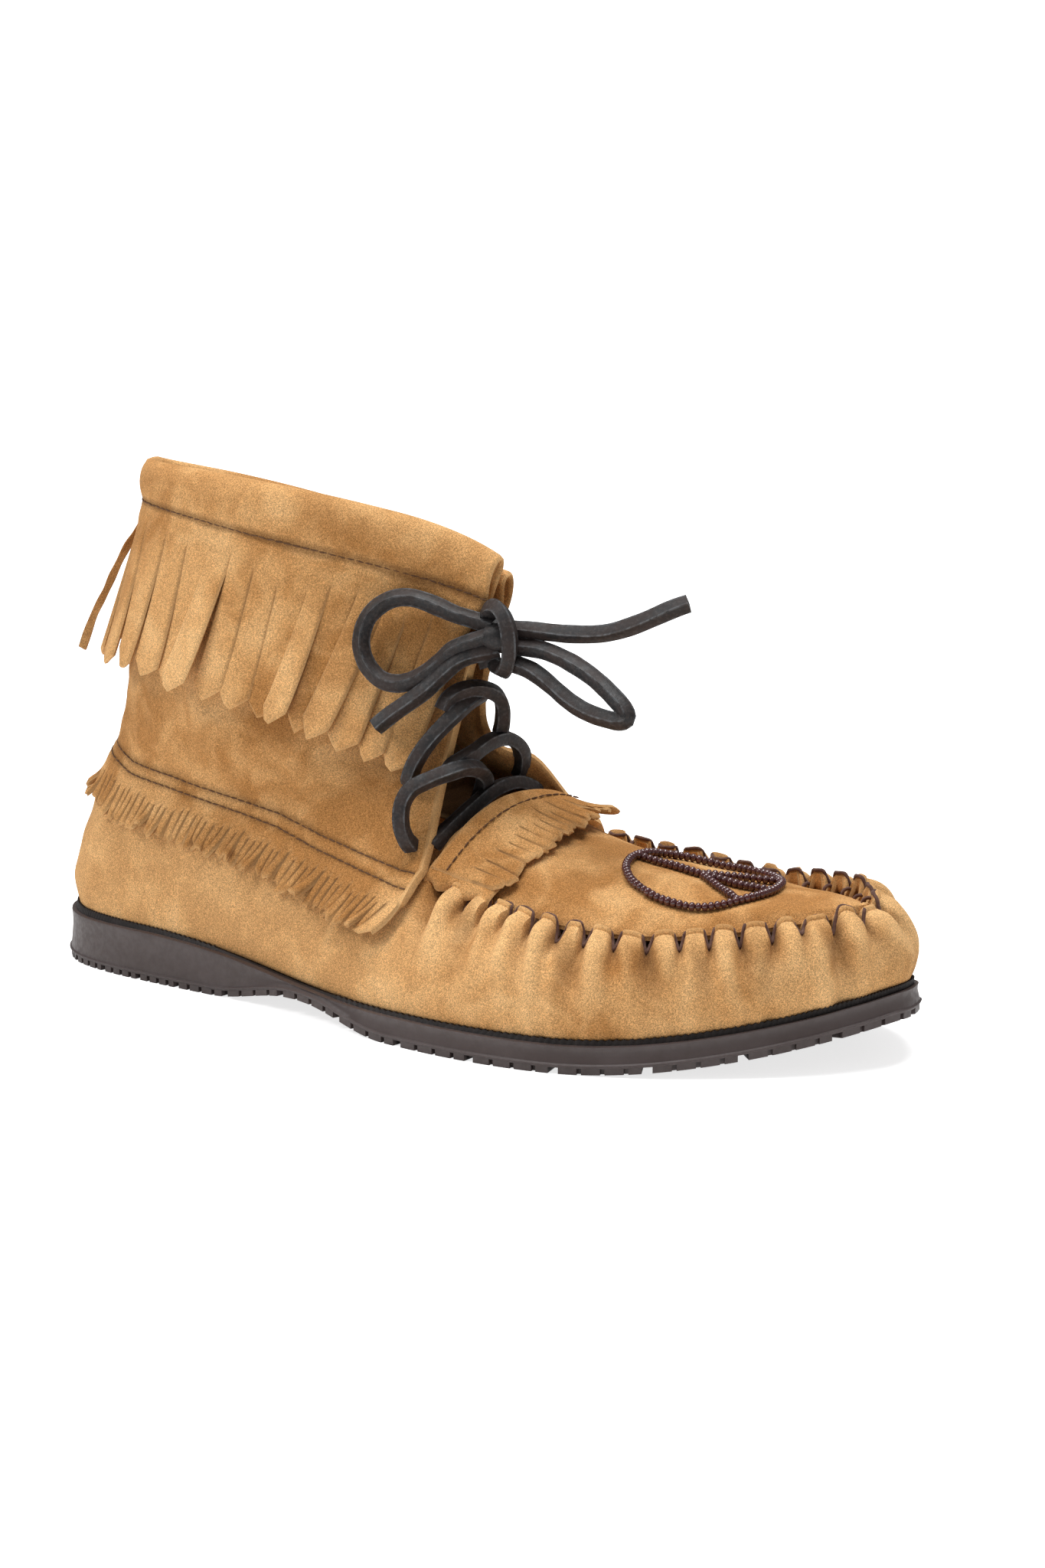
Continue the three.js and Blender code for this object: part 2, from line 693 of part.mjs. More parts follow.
place('outsole', outsoleSolid(), DARK_RUBBER);
place('insole', insoleSolid(), INNER_LEATHER);
place('upper', upperSolid(), TAN_SUEDE);
place('tongue', tongueSolid(), INNER_LEATHER);
place('collar_roll', rollSolid(), TAN_SUEDE);
place('long_fringe', longFringeSolid(), TAN_SUEDE);
place('ankle_fringe', ankleFringeSolid(), TAN_SUEDE);
place('kiltie', kiltieSolid(), TAN_SUEDE);
place('lace_crossing', thong(HOLE_BAR, 16).add(thong(LOWER_BAR, 8)).add(thong(RISING_BAR, 7)), DARK_THONG);
place('lace_bar_upper', thong(UPPER_BAR, 10), DARK_THONG);
place('lace_bar_top', thong(TOP_BAR, 6), DARK_THONG);
place('lace_knot', knotSolid(), DARK_THONG);
place('lace_loop_lateral', thong(LATERAL_LOOP, 28), DARK_THONG);
place('lace_end_lateral', thong(LATERAL_END, 14), DARK_THONG);
place('lace_end_front', thong(FRONT_END, 16), DARK_THONG);
place('lace_loop_front', thong(FRONT_LOOP, 30), DARK_THONG);

export default boot;
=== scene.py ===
import math

import bpy
import numpy as np
from bpy.props import FloatProperty, FloatVectorProperty, IntProperty, PointerProperty
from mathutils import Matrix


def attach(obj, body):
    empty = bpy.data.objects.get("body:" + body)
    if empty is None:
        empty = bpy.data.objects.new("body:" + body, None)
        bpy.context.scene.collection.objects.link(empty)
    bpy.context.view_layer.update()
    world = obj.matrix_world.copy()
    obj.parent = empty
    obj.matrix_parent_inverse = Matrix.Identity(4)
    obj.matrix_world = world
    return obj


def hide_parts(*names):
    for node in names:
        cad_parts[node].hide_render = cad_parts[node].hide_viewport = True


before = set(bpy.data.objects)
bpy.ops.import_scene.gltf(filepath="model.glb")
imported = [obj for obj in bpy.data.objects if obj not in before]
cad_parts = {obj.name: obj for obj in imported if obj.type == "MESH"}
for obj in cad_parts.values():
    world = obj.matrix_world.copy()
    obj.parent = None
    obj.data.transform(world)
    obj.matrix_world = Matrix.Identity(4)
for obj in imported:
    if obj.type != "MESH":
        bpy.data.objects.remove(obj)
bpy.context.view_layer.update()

bl_info = {
    "name": "Fringed moccasin boot",
    "version": (1, 0, 0),
    "blender": (4, 5, 0),
    "location": "3D View > Sidebar > Boot",
    "description": "Builds a fringed moccasin ankle boot around its packed solids",
    "category": "Add Mesh",
}

# The shoe's own frame is in millimetres: x from the heel to the toe, y to the wearer's left,
# z up from the floor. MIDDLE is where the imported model's origin lies in it.
MIDDLE = np.array([143.5, -5.45, 0.0])
MM = 0.001

# ---- driving sizes, as in the solids ----
LENGTH = 293.0
HEEL_X = -3.0
BALL_WIDTH = 105.0
HEEL_HEIGHT = 15.5
FOREFOOT_HEIGHT = 8.0
TOE_SPRING = 13.5
ARCH_GAP = 5.5
GAP = 0.35
FEATHER_INSET = 2.5
THROAT_LATERAL = 0.515
THROAT_MEDIAL = 0.56
WIDEST = 0.42
UPPER_WALL = 2.0
INSOLE_CLEARANCE = 1.6


def table(names, rows):
    """Columns by name, from rows of numbers."""
    return dict(zip(names.split(), np.array(rows, float).T))


# Sole outline: share of the length, half widths as shares of the ball width.
OUTLINE = table("at lateral medial", [
    [0.00, 0.000, 0.000],
    [0.02, 0.165, 0.165],
    [0.06, 0.262, 0.262],
    [0.12, 0.315, 0.310],
    [0.20, 0.345, 0.318],
    [0.30, 0.372, 0.292],
    [0.42, 0.445, 0.262],
    [0.54, 0.527, 0.312],
    [0.64, 0.556, 0.395],
    [0.72, 0.540, 0.440],
    [0.80, 0.468, 0.452],
    [0.88, 0.335, 0.425],
    [0.94, 0.200, 0.345],
    [0.98, 0.070, 0.225],
    [1.00, -0.070, 0.070],
])

# Wrap: its top line, inset from the outline and its height on each side, then the bulge over
# the sole and how its shoulder leans out and down from the top line.
WRAP = table("at inset_lateral inset_medial high_lateral high_medial bulge out down", [
    [0.00, 20.0, 20.0, 71.0, 71.0, 7.0, 10.0, 19.0],
    [0.10, 17.0, 17.0, 69.0, 69.0, 6.0, 9.0, 18.0],
    [0.20, 11.5, 10.0, 66.0, 66.0, 4.0, 5.0, 17.0],
    [0.30, 8.0, 3.0, 62.5, 63.0, 3.0, 3.0, 15.0],
    [0.40, 11.5, -1.0, 56.0, 59.0, 3.0, 4.0, 14.0],
    [0.50, 19.0, 1.5, 47.0, 55.0, 4.0, 8.0, 10.0],
    [0.56, 22.0, 7.0, 42.5, 51.0, 4.5, 13.0, 5.0],
    [0.62, 18.0, 11.5, 39.5, 47.5, 4.5, 13.0, 4.0],
    [0.69, 14.0, 14.0, 38.0, 45.0, 4.5, 12.0, 3.5],
    [0.76, 12.0, 14.0, 39.0, 45.0, 4.5, 11.0, 3.5],
    [0.83, 11.0, 12.0, 42.0, 46.0, 5.0, 10.0, 3.5],
    [1.00, 12.0, 12.0, 43.0, 43.0, 5.5, 10.0, 3.5],
])

# Plug: how far its crown stands above the chord between the two seams, throat to toe.
PLUG = table("at crown", [
    [0.00, 16.5],
    [0.09, 12.5],
    [0.22, 10.0],
    [0.36, 8.2],
    [0.50, 5.5],
    [0.65, 3.5],
    [0.83, 2.2],
    [1.00, 1.5],
])

# Shaft: level sections from the ankle to the crest of the collar.
SHAFT = table(
    "up back front lateral medial edge_lateral edge_medial high_back high_front medial_drop", [
        [0.45, 22.5, 151.5, 32.0, 36.0, 15.0, 2.0, 99.0, 84.0, 0.0],
        [0.80, 27.0, 157.0, 26.0, 25.0, 7.0, 1.0, 140.0, 118.0, 2.5],
        [1.00, 27.0, 161.0, 21.0, 19.0, 4.0, 0.0, 161.0, 137.0, 5.0],
    ])


# ---- number helpers ----
def curve_through(places, values, x):
    """Smooth curve through a column of values or points, by cubic pieces."""
    places = np.asarray(places, float)
    values = np.asarray(values, float)
    spare = (1,) * (values.ndim - 1)
    step = np.diff(places).reshape((-1,) + spare)
    rise = np.diff(values, axis=0) / step
    slope = np.zeros_like(values)
    slope[1:-1] = (rise[:-1] * step[1:] + rise[1:] * step[:-1]) / (step[:-1] + step[1:])
    slope[0] = 1.5 * rise[0] - 0.5 * slope[1]
    slope[-1] = 1.5 * rise[-1] - 0.5 * slope[-2]
    x = np.clip(x, places[0], places[-1])
    i = np.clip(np.searchsorted(places, x, side="right") - 1, 0, len(places) - 2)
    wide = places[i + 1] - places[i]
    t = (x - places[i]) / wide
    if values.ndim == 1:
        pick = lambda column, k: column[k]
    else:
        grid = tuple(np.indices(x.shape))
        pick = lambda column, k: column[(k,) + grid]
        t = t[..., None]
        wide = wide[..., None]
    r = 1 - t
    return (pick(values, i) * (1 + 2 * t) * r * r + pick(slope, i) * wide * t * r * r
            + pick(values, i + 1) * t * t * (3 - 2 * t)
            + pick(slope, i + 1) * wide * t * t * (t - 1))


def mix(a, b, k):
    return a + (b - a) * k


def smooth(x, low=0.0, high=1.0):
    k = np.clip((np.asarray(x, float) - low) / (high - low), 0, 1)
    return k * k * (3 - 2 * k)


def unit(v):
    v = np.asarray(v, float)
    return v / np.maximum(np.linalg.norm(v, axis=-1, keepdims=True), 1e-9)


def run_along(points):
    """How far along a line of points each of them lies."""
    return np.append(0, np.cumsum(np.linalg.norm(np.diff(points, axis=0), axis=1)))


def station_of(share):
    """Where along one side, 0 at the heel to 1 at the toe, with stations closer at both ends."""
    return np.arccos(1 - 2 * np.clip(share, 0, 1)) / math.pi


def share_of(station):
    """The share of the length at a station; the other way of station_of."""
    return (1 - np.cos(math.pi * np.asarray(station, float))) / 2


def waver(points, size, seed):
    """Gentle unevenness in space, about -1 to 1, that repeats nowhere near."""
    rng = np.random.default_rng(seed)
    points = np.asarray(points, float)
    total = np.zeros(points.shape[:-1])
    for _ in range(7):
        way = unit(rng.normal(size=3)) * 2 * math.pi / (size * rng.uniform(0.6, 1.7))
        total += np.sin(points @ way + rng.uniform(0, 2 * math.pi))
    return total / 2.6


# ---- the last's surfaces ----
STATIONS = station_of(OUTLINE["at"])


def side_of(round_):
    """Which side a place round the sole is on, and its station there. It runs from 0 at the heel
    along the outer side to 0.5 at the toe and back along the inner side to 1."""
    turn = np.mod(round_, 1)
    medial = turn > 0.5
    return medial, np.where(medial, 2 * (1 - turn), 2 * turn)


def outline(round_):
    """The sole's outline in the floor plan."""
    medial, at = side_of(np.asarray(round_, float))
    x = HEEL_X + LENGTH * share_of(at)
    lateral = -curve_through(STATIONS, OUTLINE["lateral"] * BALL_WIDTH, at)
    inner = curve_through(STATIONS, OUTLINE["medial"] * BALL_WIDTH, at)
    return np.stack([x, np.where(medial, inner, lateral), np.zeros_like(x)], -1)


def outward(round_):
    """The level way out from the outline."""
    ahead = unit(outline(round_ + 1e-3) - outline(round_ - 1e-3))
    return np.stack([ahead[..., 1], -ahead[..., 0], np.zeros_like(ahead[..., 0])], -1)


def inset(round_, distance):
    """The outline, moved in by some mm."""
    distance = np.asarray(distance, float)
    return outline(round_) - outward(round_) * distance[..., None]


def spring_at(x):
    t = np.clip((x - HEEL_X - 0.73 * LENGTH) / (0.27 * LENGTH), 0, 1)
    return TOE_SPRING * t * t


def underside(x):
    """Height of the tread over the floor: on it but for the raised waist and the sprung toe."""
    t = np.clip((x - HEEL_X - 0.266 * LENGTH) / (0.273 * LENGTH), 0, 1)
    return spring_at(x) + ARCH_GAP * np.sin(math.pi * t) ** 2


def footbed(x):
    """Height of the sole's upper face."""
    t = smooth((x - HEEL_X - 0.164 * LENGTH) / (0.341 * LENGTH))
    return mix(HEEL_HEIGHT, FOREFOOT_HEIGHT, t) + spring_at(x)


def wrap_row(name, at):
    return curve_through(WRAP["at"], WRAP[name], at)


def top_line(round_, grow=0.0):
    """The wrap's upper edge, where the seam and the ankle run."""
    round_ = np.asarray(round_, float)
    medial, at = side_of(round_)
    distance = np.where(medial, wrap_row("inset_medial", at), wrap_row("inset_lateral", at))
    p = inset(round_, distance - grow)
    p[..., 2] = np.where(medial, wrap_row("high_medial", at), wrap_row("high_lateral", at))
    return p


def wrap_at(round_, up):
    """The wrap's outer face, from 0 at the sole to 1 at its top line."""
    round_, up = np.broadcast_arrays(np.asarray(round_, float), np.asarray(up, float))
    _, at = side_of(round_)
    low = inset(round_, FEATHER_INSET)
    low[..., 2] = footbed(low[..., 0]) + GAP
    high = top_line(round_)
    n = outward(round_)
    first = low + n * wrap_row("bulge", at)[..., None]
    first[..., 2] += 0.3 * (high[..., 2] - low[..., 2])
    second = high + n * wrap_row("out", at)[..., None]
    second[..., 2] -= wrap_row("down", at)
    u = up[..., None]
    r = 1 - u
    return low * r ** 3 + 3 * first * r * r * u + 3 * second * r * u * u + high * u ** 3


def plug_at(along, across, grow=0.0):
    """The plug: along from 0 at the throat to 1 at the toe, across from -1 at the outer side."""
    along, across = np.broadcast_arrays(np.asarray(along, float), np.asarray(across, float))
    lateral = top_line(mix(THROAT_LATERAL, 1, along) / 2, grow)
    medial = top_line(1 - mix(THROAT_MEDIAL, 1, along) / 2, grow)
    p = mix(lateral, medial, ((across + 1) / 2)[..., None])
    crown = curve_through(PLUG["at"], PLUG["crown"], along)
    p[..., 2] += crown * (1 - np.abs(across) ** 2.2)
    return p


def level_at(row, share, medial):
    """One level section of the shaft, from the back seam to the throat's edge."""
    pick = lambda name: SHAFT[name][row]
    full = np.where(medial, pick("medial"), pick("lateral"))
    edge = np.where(medial, pick("edge_medial"), pick("edge_lateral"))
    nose = np.sqrt(1 - (1 - np.minimum(share / WIDEST, 1)) ** 2)
    close = smooth((share - WIDEST) / (1 - WIDEST))
    y = mix(full * nose, edge, close)
    x = mix(pick("back"), pick("front"), share)
    drop = np.where(medial, pick("medial_drop") * nose, 0)
    z = mix(pick("high_back"), pick("high_front"), share ** 1.5) - drop
    return np.stack([x, np.where(medial, y, -y), z], -1)


def line_round(turn):
    """Where round the wrap's top line a turn of the shaft stands."""
    throat = np.where(turn > 0, THROAT_MEDIAL, THROAT_LATERAL)
    at = station_of(share_of(throat) * share_of(np.abs(turn)))
    return np.where(turn > 0, 1 - at / 2, at / 2)


def shaft_at(turn, up):
    """The shaft: turn from -1 at the lateral front edge over the back seam to 1, up from 0 at
    the wrap's top line to 1 at the crest of the collar. Below 0 it follows the wrap."""
    turn, up = np.broadcast_arrays(np.asarray(turn, float), np.asarray(up, float))
    medial = turn > 0
    share = share_of(np.abs(turn))
    line = line_round(turn)
    places = np.stack([top_line(line)] + [level_at(row, share, medial) for row in range(3)])
    above = curve_through(np.append(0, SHAFT["up"]), places, up)
    below = wrap_at(line, 1 + np.minimum(up, 0))
    return np.where((up < 0)[..., None], below, above)


def up_where(turn, z, low):
    """How far up the shaft a height lies, sought between `low` and the crest."""
    turn = np.asarray(turn, float)
    low = np.full(turn.shape, low)
    high = np.ones(turn.shape)
    for _ in range(16):
        half = (low + high) / 2
        below = shaft_at(turn, half)[..., 2] < z
        low = np.where(below, half, low)
        high = np.where(below, high, half)
    return low


def under_crest(turn, depth):
    """How far up the shaft stands a given depth under the crest of the collar."""
    return up_where(turn, shaft_at(turn, 1.0)[..., 2] - depth, 0.3)


def crest_frame(turns):
    """Points of the collar's crest, and the level way out from each."""
    ahead = unit(shaft_at(turns + 2e-3, 1.0) - shaft_at(turns - 2e-3, 1.0))
    out = unit(np.stack([-ahead[:, 1], ahead[:, 0], np.zeros(len(turns))], 1))
    return shaft_at(turns, 1.0), out


def lean_back(turn, lean):
    """A turn moved towards the back seam by a share of its way there."""
    return np.sign(turn) * station_of(share_of(np.abs(turn)) * (1 - lean))


def even_turns(up, reach, count):
    """Turns evenly spaced round the shaft at one height."""
    turns = np.linspace(-reach, reach, 600)
    run = run_along(shaft_at(turns, up))
    return np.interp(np.linspace(0, run[-1], count + 1), run, turns)


def facing_of(surface, u, v):
    """Unit normal of a surface given as a function of two numbers."""
    du = surface(u + 1e-3, v) - surface(u - 1e-3, v)
    dv = surface(u, v + 1e-3) - surface(u, v - 1e-3)
    return unit(np.cross(du, dv))


# ---- meshes ----
def grid_faces(rows, cols, ring=False, loop=False):
    """Quads over a grid of points. A ring joins its last column to its first, and a loop its
    last row to its first."""
    r, c = np.meshgrid(np.arange(rows if loop else rows - 1), np.arange(cols if ring else cols - 1),
                       indexing="ij")
    a = (r * cols + c).ravel()
    b = (r * cols + (c + 1) % cols).ravel()
    size = rows * cols
    return np.stack([a, b, (b + cols) % size, (a + cols) % size], 1)


def tube_faces(rows, cols, turned=False):
    """Quads round a row of rings, and one face over each end, turned over if need be."""
    faces = grid_faces(rows, cols, ring=True).tolist()
    faces.append(list(range(cols))[::-1])
    faces.append([(rows - 1) * cols + k for k in range(cols)])
    return [face[::-1] for face in faces] if turned else faces


def corner_normals(points, faces):
    across = np.cross(points[faces[:, 2]] - points[faces[:, 0]],
                      points[faces[:, 3]] - points[faces[:, 1]])
    normals = np.zeros_like(points)
    for k in range(4):
        np.add.at(normals, faces[:, k], across)
    return unit(normals)


# A cut edge stands out and its faces tuck in beside it, in shares of the sheet's thickness.
EDGE_OUT = 0.3
EDGE_TUCK = 0.12


def thicken(points, faces, inner, outer, marks=None):
    """A leather sheet given its thickness, with softly rounded cut edges. Returns points,
    faces and how near each point is to a cut edge. Marks are kept for both faces."""
    points = np.asarray(points, float)
    count = len(points)
    inner = np.broadcast_to(inner, count)
    outer = np.broadcast_to(outer, count)
    normals = corner_normals(points, faces)
    starts = faces.ravel()
    ends = np.roll(faces, -1, axis=1).ravel()
    forward = starts * count + ends
    lone = ~np.isin(forward, ends * count + starts)
    a, b = starts[lone], ends[lone]
    rim = np.unique(np.concatenate([a, b]))
    slot = np.full(count, -1)
    slot[rim] = np.arange(len(rim))
    side = np.zeros_like(points)
    way = np.cross(points[b] - points[a], normals[a])
    np.add.at(side, a, way)
    np.add.at(side, b, way)
    side = unit(side)
    thick = (outer - inner)[:, None]
    cut = np.zeros(count)
    cut[rim] = 1
    tuck = EDGE_TUCK * cut[:, None] * thick
    top = points + normals * (outer[:, None] - tuck)
    low = points + normals * (inner[:, None] + tuck)
    mid = points[rim] + normals[rim] * ((outer + inner) / 2)[rim][:, None]
    mid = mid + side[rim] * EDGE_OUT * thick[rim]
    everything = np.concatenate([top, low, mid])
    am, bm = slot[a] + 2 * count, slot[b] + 2 * count
    walls = np.concatenate([np.stack([b, a, am, bm], 1), np.stack([bm, am, a + count, b + count], 1)])
    all_faces = np.concatenate([faces, faces[:, ::-1] + count, walls])
    near = np.concatenate([cut * 0.35, cut * 0.35, np.ones(len(rim))])
    if marks is not None:
        near = (near, np.concatenate([marks, marks, marks[rim]]))
    return everything, all_faces, near


def smooth_path(points, spacing):
    """A smooth line through given points, with evenly spaced points of its own."""
    points = np.asarray(points, float)
    line = np.concatenate([2 * points[:1] - points[1:2], points, 2 * points[-1:] - points[-2:-1]])
    fine = []
    for i in range(len(line) - 3):
        a, b, c, d = line[i:i + 4]
        t = np.linspace(0, 1, 24, endpoint=False)[:, None]
        fine.append(0.5 * (2 * b + (c - a) * t + (2 * a - 5 * b + 4 * c - d) * t ** 2
                           + (3 * b - a - 3 * c + d) * t ** 3))
    fine.append(line[-2:-1])
    fine = np.concatenate(fine)
    run = run_along(fine)
    count = max(3, int(round(run[-1] / spacing)) + 1)
    steps = np.linspace(0, run[-1], count)
    return np.stack([np.interp(steps, run, fine[:, k]) for k in range(3)], 1)


def carried_frames(path, side, roll=0.0):
    """Two directions across a path that turn with it as little as they can."""
    ahead = unit(np.gradient(path, axis=0))
    first = np.asarray(side, float)
    lefts = []
    for a in ahead:
        first = unit(first - a * (first @ a))
        lefts.append(first)
    lefts = np.array(lefts)
    ups = np.cross(ahead, lefts)
    angle = np.broadcast_to(np.radians(roll), len(path))[:, None]
    return lefts * np.cos(angle) + ups * np.sin(angle), ups * np.cos(angle) - lefts * np.sin(angle)


def swept(path, section, lefts, ups, scale):
    """A section pushed along a path, shut by a face at each end."""
    scale = scale[:, None, None]
    rings = (path[:, None] + lefts[:, None] * section[:, :1] * scale
             + ups[:, None] * section[:, 1:] * scale)
    return rings.reshape(-1, 3), tube_faces(len(path), len(section))


def round_section(radius, sides):
    angle = np.linspace(0, 2 * math.pi, sides, endpoint=False)
    return np.stack([np.cos(angle), np.sin(angle)], 1) * radius


def mesh_piece(name, points, faces, material, nodes=(), slot=None, marks=None, crease=50.0):
    """Makes one closed piece from points in the shoe's frame and hands it to the frame."""
    mesh = bpy.data.meshes.new(name)
    points = (np.asarray(points, float) - MIDDLE) * MM
    if isinstance(faces, np.ndarray):
        faces = faces.tolist()
    mesh.from_pydata(points.tolist(), [], faces)
    mesh.validate()
    mesh.update()
    mesh.shade_smooth()
    mesh.set_sharp_from_angle(angle=math.radians(crease))
    for key, values in (marks or {}).items():
        layer = mesh.attributes.new(key, "FLOAT", "POINT")
        layer.data.foreach_set("value", np.asarray(values, np.float32))
    mesh.materials.append(material)
    piece = bpy.data.objects.new(name, mesh)
    bpy.context.scene.collection.objects.link(piece)
    hand_over(piece, nodes)
    return piece


def hand_over(piece, nodes=()):
    """Every piece rides the one body; some stand for solids."""
    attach(piece, "root")
    if nodes:
        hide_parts(*nodes)


# ---- shaders ----
def rgb(red, green, blue):
    """A colour given as a screen shows it, 0 to 255, as linear light."""
    parts = []
    for value in (red, green, blue):
        v = value / 255
        parts.append(v / 12.92 if v <= 0.04045 else ((v + 0.055) / 1.055) ** 2.4)
    return (*parts, 1.0)


def add(tree, kind, inputs=None, **settings):
    node = tree.nodes.new(kind)
    for key, value in settings.items():
        setattr(node, key, value)
    for key, value in (inputs or {}).items():
        if isinstance(value, bpy.types.NodeSocket):
            tree.links.new(value, node.inputs[key])
        else:
            node.inputs[key].default_value = value
    return node


def noise(tree, place, scale, detail, rough, distortion=0.0):
    return add(tree, "ShaderNodeTexNoise", {
        "Vector": place, "Scale": scale, "Detail": detail, "Roughness": rough,
        "Distortion": distortion}).outputs["Fac"]


def ranged(tree, value, low, high, to_low=0.0, to_high=1.0):
    return add(tree, "ShaderNodeMapRange", {
        "Value": value, "From Min": low, "From Max": high, "To Min": to_low,
        "To Max": to_high}, interpolation_type="SMOOTHSTEP").outputs["Result"]


def plus(tree, a, b):
    return add(tree, "ShaderNodeMath", {0: a, 1: b}, operation="ADD").outputs[0]


def times(tree, a, b):
    return add(tree, "ShaderNodeMath", {0: a, 1: b}, operation="MULTIPLY").outputs[0]


def blended(tree, share, a, b, how="MIX"):
    node = add(tree, "ShaderNodeMix", {0: share, 6: a, 7: b}, data_type="RGBA", blend_type=how)
    return node.outputs[2]


def open_look(name, colours):
    """An empty look with its colours coming in, and the place on the piece to read from."""
    tree = bpy.data.node_groups.new(name, "ShaderNodeTree")
    for label, value in colours.items():
        socket = tree.interface.new_socket(label, in_out="INPUT", socket_type="NodeSocketColor")
        socket.default_value = value
    place = add(tree, "ShaderNodeTexCoord").outputs["Object"]
    return tree, tree.nodes.new("NodeGroupInput").outputs, place


def close_look(tree, color, height, rough):
    """Sends a look's colour, height and roughness out of its group."""
    for label, kind in (("Color", "NodeSocketColor"), ("Height", "NodeSocketFloat"),
                        ("Rough", "NodeSocketFloat")):
        tree.interface.new_socket(label, in_out="OUTPUT", socket_type=kind)
    made = tree.nodes.new("NodeGroupOutput").inputs
    for socket, value in zip(made, (color, height, rough)):
        tree.links.new(value, socket)
    return tree


def read_mark(tree, name):
    return add(tree, "ShaderNodeAttribute", attribute_name=name).outputs["Fac"]


def suede_group(sizes):
    """Suede: softly brushed nap, fine grain, painted shade in its folds and slits, paler with wear
    and with painted highlights on raised places, and paler on its cut edges."""
    tree, given, place = open_look("Suede look", {
        "Tan": (*sizes.tan, 1), "Deep": (*sizes.tan_deep, 1), "Pale": (*sizes.tan_pale, 1)})
    clouds = noise(tree, place, 24.0, 2.0, 0.5, 0.4)
    drift = noise(tree, place, 75.0, 2.0, 0.5, 0.6)
    mottle = noise(tree, place, 600.0, 3.0, 0.6, 0.2)
    grain = noise(tree, place, 1900.0, 2.0, 0.6)
    fibre = noise(tree, place, 3600.0, 2.0, 0.6)
    soft = plus(tree, times(tree, clouds, 0.55), times(tree, drift, 0.45))
    color = blended(tree, ranged(tree, soft, 0.41, 0.56), given["Deep"], given["Tan"])
    # Paler patches: random ones in the nap, and a mark that carries wear and painted highlights.
    wear_and_highlight = plus(tree, ranged(tree, soft, 0.50, 0.70, 0.0, 0.8), read_mark(tree, "wear_and_highlight"))
    color = blended(tree, wear_and_highlight, color, given["Pale"])
    speck = ranged(tree, grain, 0.36, 0.64, 0.83, 1.15)
    speck = times(tree, speck, ranged(tree, fibre, 0.36, 0.64, 0.70, 1.28))
    speck = times(tree, speck, ranged(tree, mottle, 0.32, 0.68, 0.96, 1.03))
    shade = add(tree, "ShaderNodeCombineColor", {0: speck, 1: speck, 2: speck}).outputs[0]
    color = blended(tree, 1.0, color, shade, "MULTIPLY")
    # Painted shade: the crease mark darkens folds, slits, seams, the shaft's inside and the shaft
    # under the flap.
    fold = times(tree, read_mark(tree, "crease"), 0.9)
    color = blended(tree, fold, color, rgb(70, 42, 22))
    # Cut edges are paler; the same mark carries a painted highlight on the seam roll's top and the
    # inner front edge.
    edge = times(tree, read_mark(tree, "cut"), 0.6)
    color = blended(tree, edge, color, rgb(216, 176, 124))
    height = plus(tree, times(tree, grain, 0.6), times(tree, fibre, 0.55))
    height = plus(tree, height, times(tree, mottle, 0.15))
    return close_look(tree, color, height, ranged(tree, soft, 0.3, 0.7, 0.98, 0.9))


def thong_group(sizes):
    """Dark chrome leather lace: satin, paler along its corners with scuffs and a painted highlight,
    with a little grain.
    """
    tree, given, place = open_look("Thong look", {"Dark": (*sizes.thong_colour, 1)})
    patch = noise(tree, place, 120.0, 3.0, 0.6)
    grain = noise(tree, place, 900.0, 4.0, 0.6)
    scuff = noise(tree, place, 420.0, 4.0, 0.7)
    color = blended(tree, ranged(tree, patch, 0.4, 0.62), given["Dark"], rgb(46, 36, 33))
    light = times(tree, ranged(tree, grain, 0.46, 0.66), 0.55)
    color = blended(tree, light, color, rgb(66, 59, 57))
    # Scuffed corners in a paler blue-grey, which also stands for a painted highlight along them.
    corner = times(tree, ranged(tree, read_mark(tree, "corner"), 0.35, 1.0),
                   ranged(tree, scuff, 0.42, 0.62, 0.05, 0.6))
    color = blended(tree, corner, color, rgb(96, 99, 102))
    height = plus(tree, grain, times(tree, scuff, 0.7))
    return close_look(tree, color, height, ranged(tree, patch, 0.35, 0.65, 0.5, 0.68))


def plain_group(name, base, other, scale, share, rough):
    """An even surface with a slight cloudiness of colour and gloss, and a fine grain."""
    tree, given, place = open_look(name, {"Base": base, "Other": other})
    patch = noise(tree, place, scale, 4.0, 0.6)
    grain = noise(tree, place, scale * 9, 3.0, 0.6)
    color = blended(tree, times(tree, ranged(tree, patch, 0.38, 0.66), share), given["Base"],
                    given["Other"])
    color = blended(tree, times(tree, read_mark(tree, "corner"), 0.5), color, given["Other"])
    gloss = ranged(tree, grain, 0.35, 0.65, rough - 0.07, rough + 0.07)
    return close_look(tree, color, plus(tree, grain, patch), gloss)


def shader(name, look, bump, colours=None, **fixed):
    """A material with one Principled shader, fed by a look; `bump` is its grain's depth in m."""
    material = bpy.data.materials.new(name)
    material.use_nodes = True
    tree = material.node_tree
    tree.nodes.clear()
    made = add(tree, "ShaderNodeGroup", colours, node_tree=look).outputs
    inputs = {key.replace("_", " "): value for key, value in fixed.items()}
    body = add(tree, "ShaderNodeBsdfPrincipled", {
        "Base Color": made["Color"], "Roughness": made["Rough"], **inputs})
    if bump:
        ridge = add(tree, "ShaderNodeBump", {
            "Strength": 1.0, "Distance": bump, "Height": made["Height"]})
        tree.links.new(ridge.outputs[0], body.inputs["Normal"])
    add(tree, "ShaderNodeOutputMaterial", {0: body.outputs[0]})
    return material


MATERIALS = {}


